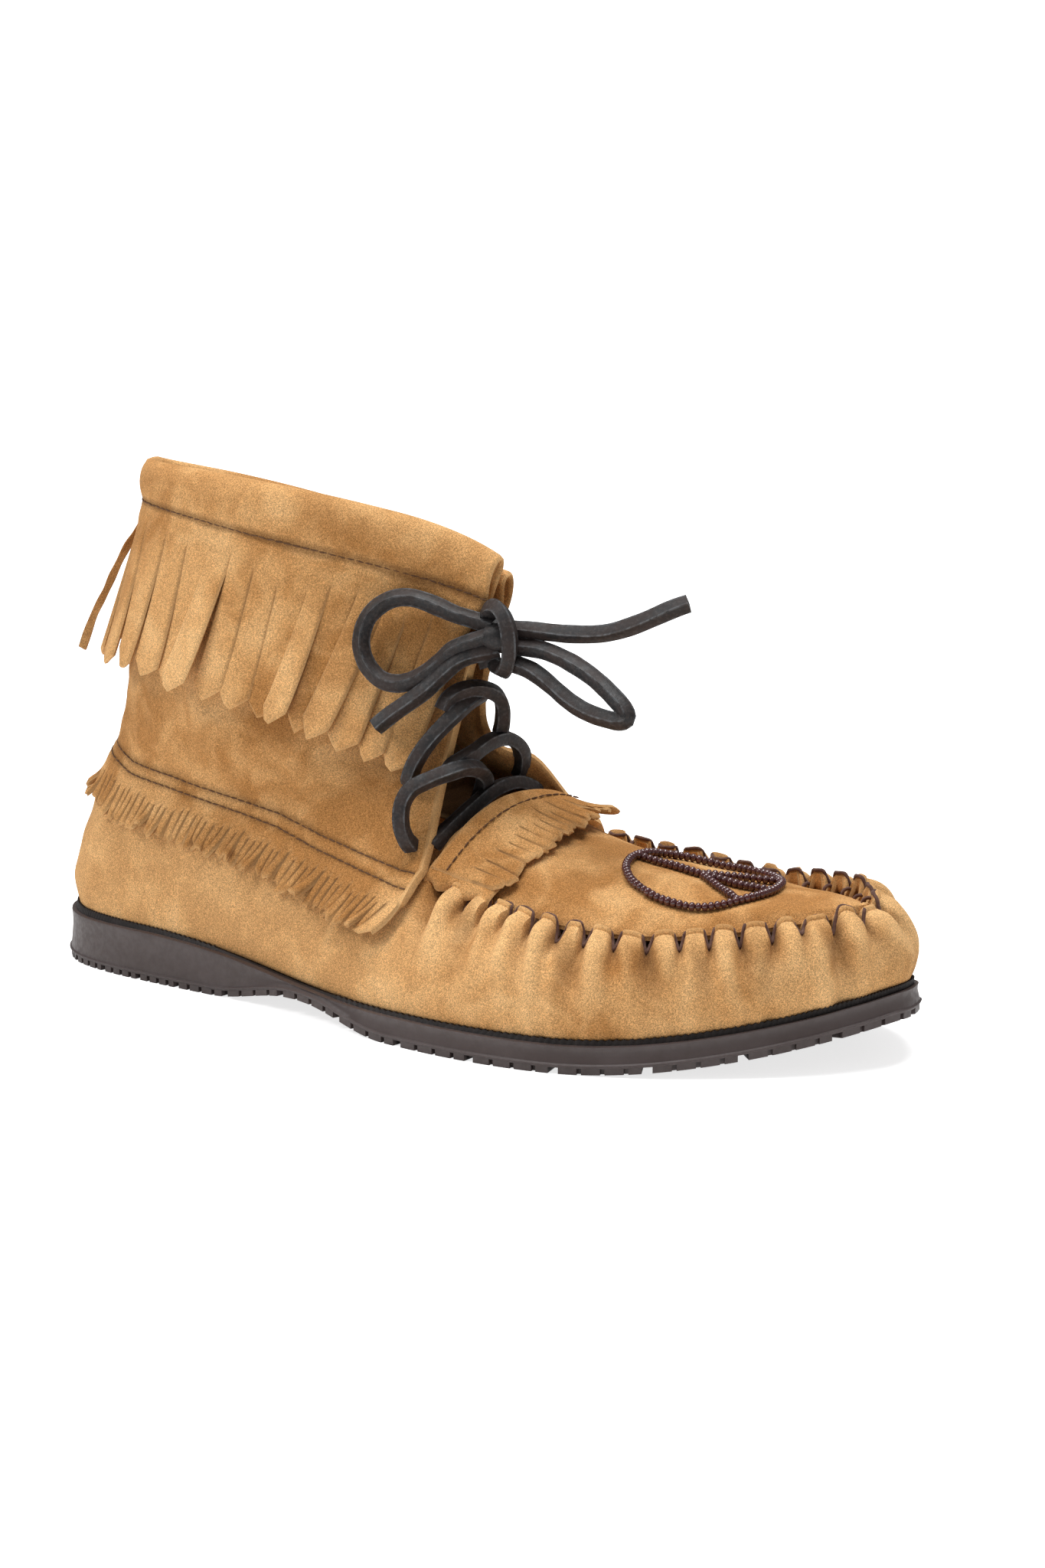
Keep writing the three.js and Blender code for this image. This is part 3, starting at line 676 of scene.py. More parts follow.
def materials(sizes):
    """Every material of the boot by name, made once."""
    if MATERIALS:
        return MATERIALS
    nap = suede_group(sizes)
    for key, name, tan, deep, pale in (
            ("suede", "Tan suede", (*sizes.tan, 1), (*sizes.tan_deep, 1), (*sizes.tan_pale, 1)),
            # The tongue's browner tans are the tan suede with painted shade.
            ("tongue", "Tongue suede in painted shade", rgb(104, 70, 38), rgb(76, 50, 27), rgb(126, 88, 50))):
        MATERIALS[key] = shader(name, nap, 0.0003, {"Tan": tan, "Deep": deep, "Pale": pale},
                                Sheen_Weight=0.12, Sheen_Roughness=0.45,
                                Sheen_Tint=rgb(236, 206, 160), Specular_IOR_Level=0.12)
    MATERIALS["thong"] = shader("Dark thong", thong_group(sizes), 0.00012, Specular_IOR_Level=0.35,
                                Coat_Weight=0.03, Coat_Roughness=0.35)

    # Each plain finish: its two colours, the size of its clouds, their share and its roughness.
    looks = {
        "rubber": ((*sizes.rubber, 1), rgb(80, 70, 69), 60.0, 0.5, 0.5),
        # The rim's near-black is painted shadow in the gap between sole and wrap, with the black of
        # the cement.
        "rim": (rgb(24, 18, 17), rgb(44, 36, 34), 200.0, 0.5, 0.6),
        "thread": (rgb(84, 54, 44), rgb(112, 80, 66), 700.0, 0.8, 0.75),
        "stitch": (rgb(88, 60, 38), rgb(112, 80, 52), 900.0, 0.8, 0.7),
        "bead": ((*sizes.bead_colour, 1), rgb(96, 46, 46), 500.0, 0.6, 0.22),
        "insole": (rgb(150, 108, 68), rgb(120, 84, 50), 45.0, 0.7, 0.75),
    }
    looks = {key: plain_group(key.capitalize() + " look", *look) for key, look in looks.items()}
    MATERIALS["rubber"] = shader("Sole rubber", looks["rubber"], 0.00005, Specular_IOR_Level=0.45)
    MATERIALS["rim"] = shader("Shadow rim", looks["rim"], 0.00005, Specular_IOR_Level=0.35)
    MATERIALS["thread"] = shader("Brown thread", looks["thread"], 0.0001, Specular_IOR_Level=0.3,
                                 Sheen_Weight=0.15)
    MATERIALS["stitch"] = shader("Stitching thread", looks["stitch"], 0.00005,
                                 Specular_IOR_Level=0.3)
    MATERIALS["bead"] = shader("Glass beads", looks["bead"], 0.0, Specular_IOR_Level=0.6,
                               Coat_Weight=0.6, Coat_Roughness=0.08)
    MATERIALS["insole"] = shader("Insole leather", looks["insole"], 0.0001,
                                 Specular_IOR_Level=0.25)
    return MATERIALS


# ---- geometry node trees ----
def geometry_tree(name, sizes):
    """An empty tree with the geometry, a material and named sizes coming in."""
    tree = bpy.data.node_groups.new(name, "GeometryNodeTree")
    tree.interface.new_socket("Geometry", in_out="INPUT", socket_type="NodeSocketGeometry")
    tree.interface.new_socket("Material", in_out="INPUT", socket_type="NodeSocketMaterial")
    for label, value in sizes.items():
        kind = "NodeSocketInt" if isinstance(value, int) else "NodeSocketFloat"
        socket = tree.interface.new_socket(label, in_out="INPUT", socket_type=kind)
        socket.default_value = value
    tree.interface.new_socket("Geometry", in_out="OUTPUT", socket_type="NodeSocketGeometry")
    return tree, tree.nodes.new("NodeGroupInput").outputs, tree.nodes.new("NodeGroupOutput").inputs


def xyz(tree, x, y, z):
    return add(tree, "ShaderNodeCombineXYZ", {0: x, 1: y, 2: z}).outputs[0]


def finish_tree(tree, geometry, given, made):
    """Ends a tree: real smooth faces in the given material."""
    real = add(tree, "GeometryNodeRealizeInstances", {0: geometry}).outputs[0]
    real = add(tree, "GeometryNodeSetShadeSmooth", {"Geometry": real}).outputs[0]
    real = add(tree, "GeometryNodeSetMaterial", {
        "Geometry": real, "Material": given["Material"]}).outputs[0]
    tree.links.new(real, made["Geometry"])
    return tree


def stepped_line(tree, given):
    """The incoming lines as curves with points a pitch apart, and each point's own turn."""
    curve = add(tree, "GeometryNodeMeshToCurve", {"Mesh": given["Geometry"]}).outputs[0]
    curve = add(tree, "GeometryNodeResampleCurve", {
        "Curve": curve, "Length": given["Pitch"]}, mode="LENGTH").outputs[0]
    tangent = add(tree, "GeometryNodeInputTangent").outputs[0]
    facing = add(tree, "GeometryNodeInputNamedAttribute", {"Name": "facing"},
                 data_type="FLOAT_VECTOR").outputs["Attribute"]
    turn = add(tree, "FunctionNodeAxesToRotation", {
        "Primary Axis": tangent, "Secondary Axis": facing}, primary_axis="X",
        secondary_axis="Z").outputs[0]
    return curve, turn


def jitter(tree, given, low, high, channel):
    """A random number for each point, from the tree's own seed."""
    seed = plus(tree, given["Seed"], float(channel))
    return add(tree, "FunctionNodeRandomValue", {2: low, 3: high, "Seed": seed},
               data_type="FLOAT").outputs[1]


def grains(tree, curve, turn, segments, rings, size):
    """A round grain on each point of a curve, turned with it and drawn out to its size."""
    grain = add(tree, "GeometryNodeMeshUVSphere", {
        "Segments": segments, "Rings": rings, "Radius": 0.5}).outputs["Mesh"]
    return add(tree, "GeometryNodeInstanceOnPoints", {
        "Points": curve, "Instance": grain, "Rotation": turn, "Scale": size}).outputs[0]


def stitch_tree():
    tree, given, made = geometry_tree("Stitches along a line", {
        "Pitch": 0.003, "Length": 0.0026, "Width": 0.0007, "Thickness": 0.0006, "Skew": 0.12,
        "Seed": 3})
    curve, turn = stepped_line(tree, given)
    skew = times(tree, jitter(tree, given, -1.0, 1.0, 0), given["Skew"])
    lean = add(tree, "FunctionNodeEulerToRotation", {0: xyz(tree, 0.0, 0.0, skew)}).outputs[0]
    turn = add(tree, "FunctionNodeRotateRotation", {
        "Rotation": turn, "Rotate By": lean}, rotation_space="LOCAL").outputs[0]
    long = times(tree, given["Length"], jitter(tree, given, 0.9, 1.08, 1))
    size = xyz(tree, long, given["Width"], given["Thickness"])
    return finish_tree(tree, grains(tree, curve, turn, 8, 6, size), given, made)


def bead_tree():
    tree, given, made = geometry_tree("Beads along a line", {
        "Pitch": 0.0018, "Size": 0.0023, "Seed": 5})
    curve, turn = stepped_line(tree, given)
    size = times(tree, given["Size"], jitter(tree, given, 0.92, 1.06, 0))
    size = xyz(tree, times(tree, size, 0.82), size, size)
    return finish_tree(tree, grains(tree, curve, turn, 12, 8, size), given, made)


def thread_tree():
    tree, given, made = geometry_tree("Thread along a line", {"Width": 0.0011, "Sides": 8})
    curve = add(tree, "GeometryNodeMeshToCurve", {"Mesh": given["Geometry"]}).outputs[0]
    ring = add(tree, "GeometryNodeCurvePrimitiveCircle", {
        "Resolution": given["Sides"], "Radius": times(tree, given["Width"], 0.5)}).outputs[0]
    tube = add(tree, "GeometryNodeCurveToMesh", {
        "Curve": curve, "Profile Curve": ring, "Fill Caps": True}).outputs[0]
    return finish_tree(tree, tube, given, made)


def grown(name, lines, tree, material, facings=None, **sizes):
    """Runs a tree over lines of points in the shoe's frame, and hands over the plain mesh."""
    points = np.concatenate(lines)
    edges = []
    start = 0
    for line in lines:
        edges += [(start + i, start + i + 1) for i in range(len(line) - 1)]
        start += len(line)
    mesh = bpy.data.meshes.new(name)
    mesh.from_pydata(((points - MIDDLE) * MM).tolist(), edges, [])
    if facings is not None:
        layer = mesh.attributes.new("facing", "FLOAT_VECTOR", "POINT")
        layer.data.foreach_set("vector", np.concatenate(facings).astype(np.float32).ravel())
    piece = bpy.data.objects.new(name, mesh)
    bpy.context.scene.collection.objects.link(piece)
    modifier = piece.modifiers.new("Grow", "NODES")
    modifier.node_group = tree
    values = {key.replace("_", " "): value for key, value in sizes.items()}
    values["Material"] = material
    for item in tree.interface.items_tree:
        if item.in_out == "INPUT" and item.name in values:
            modifier[item.identifier] = values[item.name]
    graph = bpy.context.evaluated_depsgraph_get()
    result = bpy.data.meshes.new_from_object(piece.evaluated_get(graph), depsgraph=graph)
    piece.modifiers.remove(modifier)
    piece.data = result
    result.name = name
    bpy.data.meshes.remove(mesh)
    hand_over(piece)


# ---- sole ----
SOLE_ROUNDS = 360
TREAD_DEEP = 1.95
# Bars across the tread: their width and pitch, the bare waist, and the bare tip of the toe.
BAR_WIDE, BAR_PITCH = 10.4, 13.0
WAIST_START, WAIST_END = HEEL_X + 66, HEEL_X + 154
TIP_START = HEEL_X + LENGTH - 22
# Wall of the sole, bottom to top: how far it stands out, and its height in mm over the tread
# or as a share of the wall.
WALL_LOW = [(0.2, 1.7), (1.15, 1.8), (1.25, 2.2), (1.75, 2.5), (1.75, 2.75), (1.2, 3.1)]
WALL_HIGH = [(0.75, 0.35), (0.5, 0.6), (0.55, 0.85), (0.75, 0.95), (0.65, 0.985), (0.0, 1.0)]


def ladder(ring, start, up):
    """Quads over a ring that is the same on both sides, pair by pair."""
    faces = []
    for i in range(ring // 2):
        a, b, c, d = i, i + 1, (ring - i - 1) % ring, (ring - i) % ring
        face = [start + k for k in ((a, b, c, d) if up else (d, c, b, a))]
        faces.append(list(dict.fromkeys(face)))
    return faces


def stacked(rings):
    """A solid of level rings, each alike on both sides, shut across the first and the last."""
    count = len(rings[0])
    faces = grid_faces(len(rings), count, ring=True).tolist()
    faces += ladder(count, 0, False) + ladder(count, (len(rings) - 1) * count, True)
    return np.concatenate(rings), faces


def sole_rings():
    turns = np.arange(SOLE_ROUNDS) / SOLE_ROUNDS
    rings = []
    for grow, lift in WALL_LOW:
        p = inset(turns, -grow)
        p[:, 2] = underside(p[:, 0]) + lift
        rings.append(p)
    for grow, share in WALL_HIGH:
        p = inset(turns, -grow)
        low = underside(p[:, 0]) + WALL_LOW[-1][1]
        p[:, 2] = mix(low, footbed(p[:, 0]), share)
        rings.append(p)
    return rings


def joined(parts):
    """Several closed shapes as one list of points and one of faces."""
    faces, start = [], 0
    for points, own in parts:
        faces += [[k + start for k in face] for face in own]
        start += len(points)
    return np.concatenate([points for points, _ in parts]), faces


def tread_block(low):
    """A block of the tread, from its foot on the floor up into the sole."""
    return np.concatenate([low, low + [0, 0, TREAD_DEEP]]), tube_faces(2, len(low))


def edge_block(rounds, near, deep):
    """A block along the sole's edge, from `near` to `deep` mm inside it."""
    low = np.concatenate([inset(rounds, near), inset(rounds[::-1], deep)])
    low[:, 2] = underside(low[:, 0])
    return tread_block(low)


def tread_edge():
    """Blocks round the edge of the tread, with shallow pockets and every fourth one open."""
    fine = np.linspace(0, 1, 4000)
    places = outline(fine)
    run = run_along(places)
    at = 0.0
    count = 0
    blocks = []
    while at < run[-1] - 3:
        heel = 1 - smooth(np.interp(at, run, places[:, 0]), 52, 92)
        pitch = mix(6.6, 4.2, heel)
        open_here = count % 4 == 3
        wide = pitch - (mix(3.0, 2.2, heel) if open_here else 1.3)
        edge = np.interp([at, at + wide / 2, at + wide], run, fine)
        back = np.interp([at, at + (wide if open_here else pitch + 0.2)], run, fine)
        blocks += [edge_block(edge, -1.2, 1.5), edge_block(back, 0.1, 9.0)]
        at += pitch
        count += 1
    return blocks


def tread_bars():
    """Bars across the tread under the heel and the forefoot, with grooves between them."""
    bars = []
    margin = 12
    for k in range(21):
        x = HEEL_X + BAR_WIDE + k * BAR_PITCH
        if WAIST_START < x < WAIST_END or x > TIP_START:
            continue
        ends = np.array([x, x + BAR_WIDE])
        at = station_of((ends - HEEL_X) / LENGTH)
        lateral = outline(at / 2)[:, 1] + margin
        medial = outline(1 - at / 2)[:, 1] - margin
        xs = ends[[0, 1, 1, 0]]
        bars.append(tread_block(np.stack([xs, np.append(lateral, medial[::-1]), underside(xs)], 1)))
    return bars


def make_sole(look):
    points, faces = joined([stacked(sole_rings())] + tread_edge() + tread_bars())
    # The ledge at the foot of the wall, its fourth and fifth rings, is paler.
    marks = np.zeros(len(points))
    marks[3 * SOLE_ROUNDS:5 * SOLE_ROUNDS] = 0.9
    mesh_piece("outsole", points, faces, look["rubber"], ["outsole"], "outsole_rubber",
               {"corner": marks}, crease=35)
    sole_shadow_rim(look)


def sole_shadow_rim(look):
    """A near-black band between the sole and the wrap, with a saw-toothed upper edge: painted shadow
    in the gap there, with the black of the cement.
    """
    count = 1500
    turns = np.arange(count) / count
    low = inset(turns, 0.55)
    base = footbed(low[:, 0])
    high = np.interp(low[:, 0], [-3, 20, 60, 95, 115, 130, 180, 240, 290],
                     [1.9, 1.6, 0.9, 0.1, 0.1, 0.5, 0.9, 1.1, 1.5])
    saw = np.abs((np.arange(count) % 4) - 2) / 2
    high = high + np.where(high > 0.5, 0.55, 0.1) * saw
    up = np.zeros(count)
    for _ in range(14):
        up = np.clip(up + (base + high - wrap_at(turns, up)[:, 2]) / 45, 0, 0.5)
    p, n = wrap_at(turns, up), outward(turns)
    rows = [inset(turns, 3.4), low, p + n * 0.75, p - n * 1.2]
    for row, z in zip(rows, (base - 0.5, base - 0.5, base + high, base + high - 0.2)):
        row[:, 2] = z
    mesh_piece("sole_shadow_rim", np.concatenate(rows), grid_faces(4, count, ring=True, loop=True),
               look["rim"], crease=35)


# ---- inside ----
# The tongue's rows up the throat: where round the shaft it starts, and how far its middle lies
# behind the throat's edges.
TONGUE = table("up turn behind", [
    [0.20, 0.79, 15],
    [0.34, 0.76, 14],
    [0.48, 0.70, 13],
    [0.62, 0.64, 12],
    [0.76, 0.58, 12],
])


def make_inside(look):
    count = 180
    turns = np.arange(count) / count
    rings = []
    for grow, lift in ((0.3, 0.0), (0, 0.3), (0, 2.5), (0.5, 3.0)):
        p = inset(turns, FEATHER_INSET + UPPER_WALL + INSOLE_CLEARANCE + grow)
        p[:, 2] = footbed(p[:, 0]) + GAP + lift
        rings.append(p)
    mesh_piece("insole", *stacked(rings), look["insole"], ["insole"], "inner_leather")
    # Tongue, from under the plug up behind the lacing.
    cols = 33
    rows = []
    for along in (0.045, 0.035, 0.02, 0.005):
        p = plug_at(along, np.linspace(0.4, -0.4, cols))
        p[:, 2] -= 3.6
        rows.append(p)
    t = np.linspace(0, 1, cols)[:, None]
    for up in np.linspace(0.2, 0.76, 22):
        turn, behind = (float(np.interp(up, TONGUE["up"], TONGUE[key])) for key in ("turn", "behind"))
        lateral, medial = shaft_at(-turn, up), shaft_at(turn, up)
        lateral[1] += 2.4
        medial[1] -= 2.4
        front = (shaft_at(-1.0, up) + shaft_at(1.0, up)) / 2
        front[0] -= behind
        rows.append(medial * (1 - t) ** 2 + 2 * front * t * (1 - t) + lateral * t * t)
    rows = np.array(rows[::-1])
    rows[..., 0] += 0.35 * waver(rows, 26, 71)
    points, faces, cut = thicken(rows.reshape(-1, 3), grid_faces(len(rows), cols), -1.8, 0)
    mesh_piece("tongue", points, faces, look["tongue"], ["tongue"], "inner_leather",
               {"cut": cut})


# ---- wrap and its puckers ----
class Puckers:
    """Where the thread draws the wrap in: notches along the seam from throat to throat."""

    def __init__(self, pitch, seed):
        rng = np.random.default_rng(seed)
        self.rounds = np.linspace(THROAT_LATERAL / 2, 1 - THROAT_MEDIAL / 2, 3000)
        self.run = run_along(top_line(self.rounds))
        self.total = self.run[-1]
        first, spare = 7.6, 3
        self.count = int(round((self.total - first - spare) / pitch))
        self.marks = np.arange(self.count + 1)
        at = np.append(0, np.cumsum(rng.uniform(0.93, 1.07, self.count)))
        self.notch = first + at / at[-1] * (self.total - first - spare)
        # Of each pucker: its strength, how far it runs down, its lean, its lift and its width.
        self.strong = rng.uniform(0.75, 1.2, self.count + 1)
        self.deep = rng.uniform(13, 30, self.count + 1)
        self.lean = rng.uniform(-0.16, 0.16, self.count + 1)
        self.lift = rng.uniform(-0.8, 0.8, self.count + 1)
        self.wide = rng.uniform(0.8, 1.35, self.count + 1)
        self.broad = rng.uniform(0, 2 * math.pi, 3)

    def run_at(self, round_):
        return np.interp(round_, self.rounds, self.run, left=-50, right=self.total + 50)

    def round_at(self, run):
        return np.interp(run, self.run, self.rounds)

    def folds(self, round_, down):
        """How far the wrap stands out, rises and draws in at a place `down` mm from its top, and how
        much painted shade falls in its folds there."""
        run = self.run_at(round_)
        fade = smooth(run, 1, 8) * smooth(self.total - run, -1, 7)
        near = np.interp(run, self.notch, self.marks)
        lean = np.interp(near, self.marks, self.lean)
        k = np.interp(run - lean * np.maximum(down - 6, 0), self.notch, self.marks, left=-1,
                      right=self.count + 1)
        inside = (k >= 0) & (k <= self.count)
        index = np.clip(np.rint(k).astype(int), 0, self.count)
        strong = np.interp(k, self.marks, self.strong)
        deep = self.deep[index]
        phi = np.mod(k, 1)
        wide = self.wide[np.clip(np.floor(k).astype(int), 0, self.count)]
        pointed = (smooth(phi, 0, 0.34 * wide) * smooth(1 - phi, 0, 0.15 * wide)) ** 0.75
        rounded = 0.5 - 0.5 * np.cos(2 * math.pi * phi)
        lobe = mix(pointed, rounded, smooth(down, 4, 14))
        size = strong * (2.6 * np.exp(-down / 8) + 2.5 * np.exp(-(down / deep) ** 2))
        out = np.where(inside, fade * size * (lobe - 0.62), 0)
        slant = run - 0.22 * down
        broad = sum(np.sin(2 * math.pi * slant / long + start) * high for long, start, high in
                    zip((27.0, 17.5, 12.0), self.broad, (0.6, 0.95, 0.7)))
        out = out + fade * broad * np.exp(-((down - 13) / 11) ** 2)
        edge = np.exp(-(down / 4.8) ** 1.6) * fade * inside
        lift = np.interp(k - 0.5, self.marks, self.lift)
        dome = 1.4 * (np.sin(math.pi * np.clip(phi * 0.94 + 0.02, 0, 1)) ** 0.8 - 1)
        rise = edge * ((lift - 1.2 + dome) * lobe - 3.2 * (1 - lobe))
        drawn = edge * (lobe + 1.8 * (1 - lobe))
        # Painted shade in the notches between the lobes and in the valleys of the broad folds.
        dark = fade * inside * np.clip((1 - lobe) * 1.7 - 0.25, 0, 1) * np.exp(-(down / 8) ** 2)
        dark = dark + fade * 0.26 * np.clip(-broad, 0, 1.4) * np.exp(-((down - 13) / 9) ** 2)
        return out, rise, drawn, dark


def profile_length(round_):
    """Length of the wrap from the sole to its top line."""
    steps = np.linspace(0, 1, 41)
    line = wrap_at(np.asarray(round_)[..., None], steps)
    return np.linalg.norm(np.diff(line, axis=-2), axis=-1).sum(-1)


def wrap_place(round_, down):
    """The smooth wrap `down` mm from its top edge, by its own profile's length."""
    round_, down = np.broadcast_arrays(np.asarray(round_, float), np.asarray(down, float))
    steps = np.linspace(0, 1, 61)
    flat = round_.ravel()
    line = wrap_at(flat[:, None], steps)
    run = np.cumsum(np.linalg.norm(np.diff(line, axis=1), axis=2), axis=1)
    run = np.concatenate([np.zeros((len(flat), 1)), run], 1)
    want = run[:, -1] - down.ravel()
    up = np.array([np.interp(w, r, steps) for w, r in zip(want, run)])
    up = up.reshape(round_.shape)
    return wrap_at(round_, up), facing_of(wrap_at, round_, np.clip(up, 2e-3, 1 - 2e-3))


def puckered(folds, round_, down):
    """The wrap's outer face with its puckers: places, facings, painted shade in the folds, and wear
    with a painted highlight on the ridges.
    """
    p, n = wrap_place(round_, down)
    out, rise, drawn, dark = folds.folds(round_, down)
    level = outward(round_)
    p = p + n * out[..., None] - level * drawn[..., None]
    p[..., 2] += rise
    # Ridges are paler: wear with a painted highlight.
    return p, n, dark, 0.75 * np.clip(out / 1.8, 0, 1)


def make_wrap(look, folds, thick):
    # Columns of points from one notch to the next, closest beside the notches.
    inside = [0, 0.035, 0.075, 0.12, 0.17, 0.23, 0.31, 0.42, 0.55, 0.68, 0.79, 0.87, 0.925, 0.955,
              0.98]
    starts, ends = folds.notch[:-1, None], folds.notch[1:, None]
    runs = np.append(mix(starts, ends, np.array(inside)), folds.notch[-1])
    front = folds.round_at(runs)
    rear = np.linspace(front[-1], 1 + front[0], 92)[1:-1]
    rounds = np.mod(np.concatenate([front, rear]), 1)
    steps = np.linspace(0, 1, 44) ** 1.45
    length = profile_length(rounds)
    down = steps[:, None] * length
    p, n, dark, wear_and_highlight = puckered(folds, rounds, down)
    away = smooth(down, 0, 10) * smooth(length - down, 2, 14)
    soft = 0.6 * waver(p, 42, 11) + 0.25 * waver(p, 15, 12)
    p = p + n * (soft * away)[..., None]
    # Bulges are paler: wear with a painted highlight.
    wear_and_highlight = wear_and_highlight + 0.25 * np.clip(soft, 0, 1) * away
    # Painted light: the wrap grows paler low down and towards the heel.
    heel_painted_light = 1 - smooth(p[..., 0], 120, 230)
    wear_and_highlight = wear_and_highlight + 0.4 * heel_painted_light * smooth(down, 6, 24)
    marks = np.stack([dark[::-1].ravel(), wear_and_highlight[::-1].ravel()], 1)
    points, faces, (cut, marks) = thicken(p[::-1].reshape(-1, 3),
                                          grid_faces(*down.shape, ring=True), -thick, 0, marks)
    mesh_piece("wrap", points, faces, look["suede"], ["upper"], "upper_suede",
               {"cut": cut, "crease": marks[:, 0], "wear_and_highlight": marks[:, 1]})
    # The edge that the thread has drawn in is rolled over on the plug.
    level = outward(front)
    half, sides = 1.25, 12
    deep = 2.0 + 2.2 * smooth(front, 0.45, 0.72)
    middle = puckered(folds, front, 1.4)[0] - level * half
    middle[:, 2] -= deep - 1.35
    ring = np.linspace(0, 2 * math.pi, sides + 1)[:-1]
    roll = (middle[:, None] + level[:, None] * (half * np.cos(ring))[:, None]
            + np.array([0, 0, 1.0]) * (deep[:, None] * np.sin(ring))[..., None])
    roll = roll.reshape(-1, 3)
    faces = tube_faces(len(front), sides, turned=True)
    # Painted highlight on the roll's upper half and painted shade on its lower half.
    pale = np.tile(0.5 * np.clip(np.sin(ring), 0, 1), len(front))
    low = np.tile(0.35 * np.clip(-np.sin(ring), 0, 1), len(front))
    mesh_piece("seam_roll", roll, faces, look["suede"], ["upper"], "upper_suede",
               {"cut": pale, "crease": low})
    # The two halves of the wrap meet in a seam up the back of the heel.
    seam_ridge("heel_seam", wrap_at(0.0, np.linspace(0.1, 0.94, 40)), look["suede"], 1.9, 2.6)


def seam_ridge(name, spine, material, wide, out):
    """Two raw edges of leather sewn flesh to flesh, standing out along a line: half the width
    of the ridge and how far it stands out."""
    side = np.array([0.0, 1.0, 0.0])
    back = unit(np.cross(side, unit(np.gradient(spine, axis=0))))
    back = back * np.sign(-back[:, :1])
    section = np.array([[-wide, -1.2], [-wide, -0.3], [-wide * 0.93, out * 0.75], [-wide * 0.6, out],
                        [-0.25, out * 1.02], [0, out * 0.55], [0.25, out * 1.02],
                        [wide * 0.6, out], [wide * 0.93, out * 0.75], [wide, -0.3], [wide, -1.2]])
    wobble = 0.18 * waver(spine, 9, 31)[:, None]
    points = (spine[:, None] + side * section[:, :1]
              + back[:, None] * (section[:, 1:] + wobble[:, None]))
    faces = tube_faces(len(spine), len(section), turned=True)
    # The ridge's raw edges are paler, and painted shade lies in the groove between them.
    cut = np.tile([0, 0, 0.3, 1, 1, 0, 1, 1, 0.3, 0, 0], len(spine))
    dark = np.tile([0, 0, 0, 0, 0, 1, 0, 0, 0, 0, 0], len(spine))
    mesh_piece(name, points.reshape(-1, 3), faces, material, slot="upper_suede",
               marks={"cut": cut, "crease": dark}, crease=60)


# ---- plug, its thread and its beads ----
def plug_skin(a, b):
    """The plug's outer face: a little inside the wrap's edge, lower along the inner side."""
    p = plug_at(a, b, -1.2)
    crown = curve_through(PLUG["at"], PLUG["crown"], a)
    side = np.abs(b)
    p[..., 2] += crown * (side ** 2.2 - side ** 2.5 - 0.1 * (1 - side ** 2.5))
    p[..., 2] -= 0.8 + 3.4 * smooth(b, -0.3, 1.0) + 1.3 * smooth(a, 0.2, 0.7)
    p[..., 2] += 1.8 * (1 - smooth(b, -1, 0.2)) * smooth(b, -1, -0.7)
    away = smooth(1 - side, 0, 0.25) * smooth(1 - a, 0, 0.1)
    p[..., 2] += away * (0.4 * waver(p, 38, 21) + 0.2 * waver(p, 16, 22))
    return p


def make_plug(look, thick):
    across = np.sin(np.linspace(-1, 1, 61) * math.pi / 2)
    a, b = np.meshgrid(np.linspace(0, 1, 90), across)
    points, faces, cut = thicken(plug_skin(a, b).reshape(-1, 3), grid_faces(*a.shape), -thick, 0)
    # Painted shade along the plug's sides, where they tuck under the wrap.
    near = np.clip(1 - (1 - np.abs(b)) * 14, 0, 1) * 0.5
    dark = np.concatenate([near.ravel()] * 2 + [np.zeros(len(points) - 2 * near.size)])
    mesh_piece("plug", points, faces, look["suede"], ["upper"], "upper_suede",
               {"cut": cut * 0.6, "crease": dark})


def plug_over(x, y, lift):
    """The place `lift` mm off the plug above a point of the floor plan, and its facing."""
    a = np.clip((x - 150) / 130, 0.02, 0.98)
    b = np.clip(y / 28, -0.9, 0.9)
    for _ in range(12):
        p = plug_skin(a, b)
        da = (plug_skin(a + 1e-3, b) - p) / 1e-3
        db = (plug_skin(a, b + 1e-3) - p) / 1e-3
        ex, ey = x - p[..., 0], y - p[..., 1]
        det = da[..., 0] * db[..., 1] - da[..., 1] * db[..., 0]
        a = np.clip(a + (ex * db[..., 1] - ey * db[..., 0]) / det, 0, 0.999)
        b = np.clip(b + (ey * da[..., 0] - ex * da[..., 1]) / det, -0.98, 0.98)
    p = plug_skin(a, b)
    n = unit(np.cross(da, db))
    return p + n * lift, n


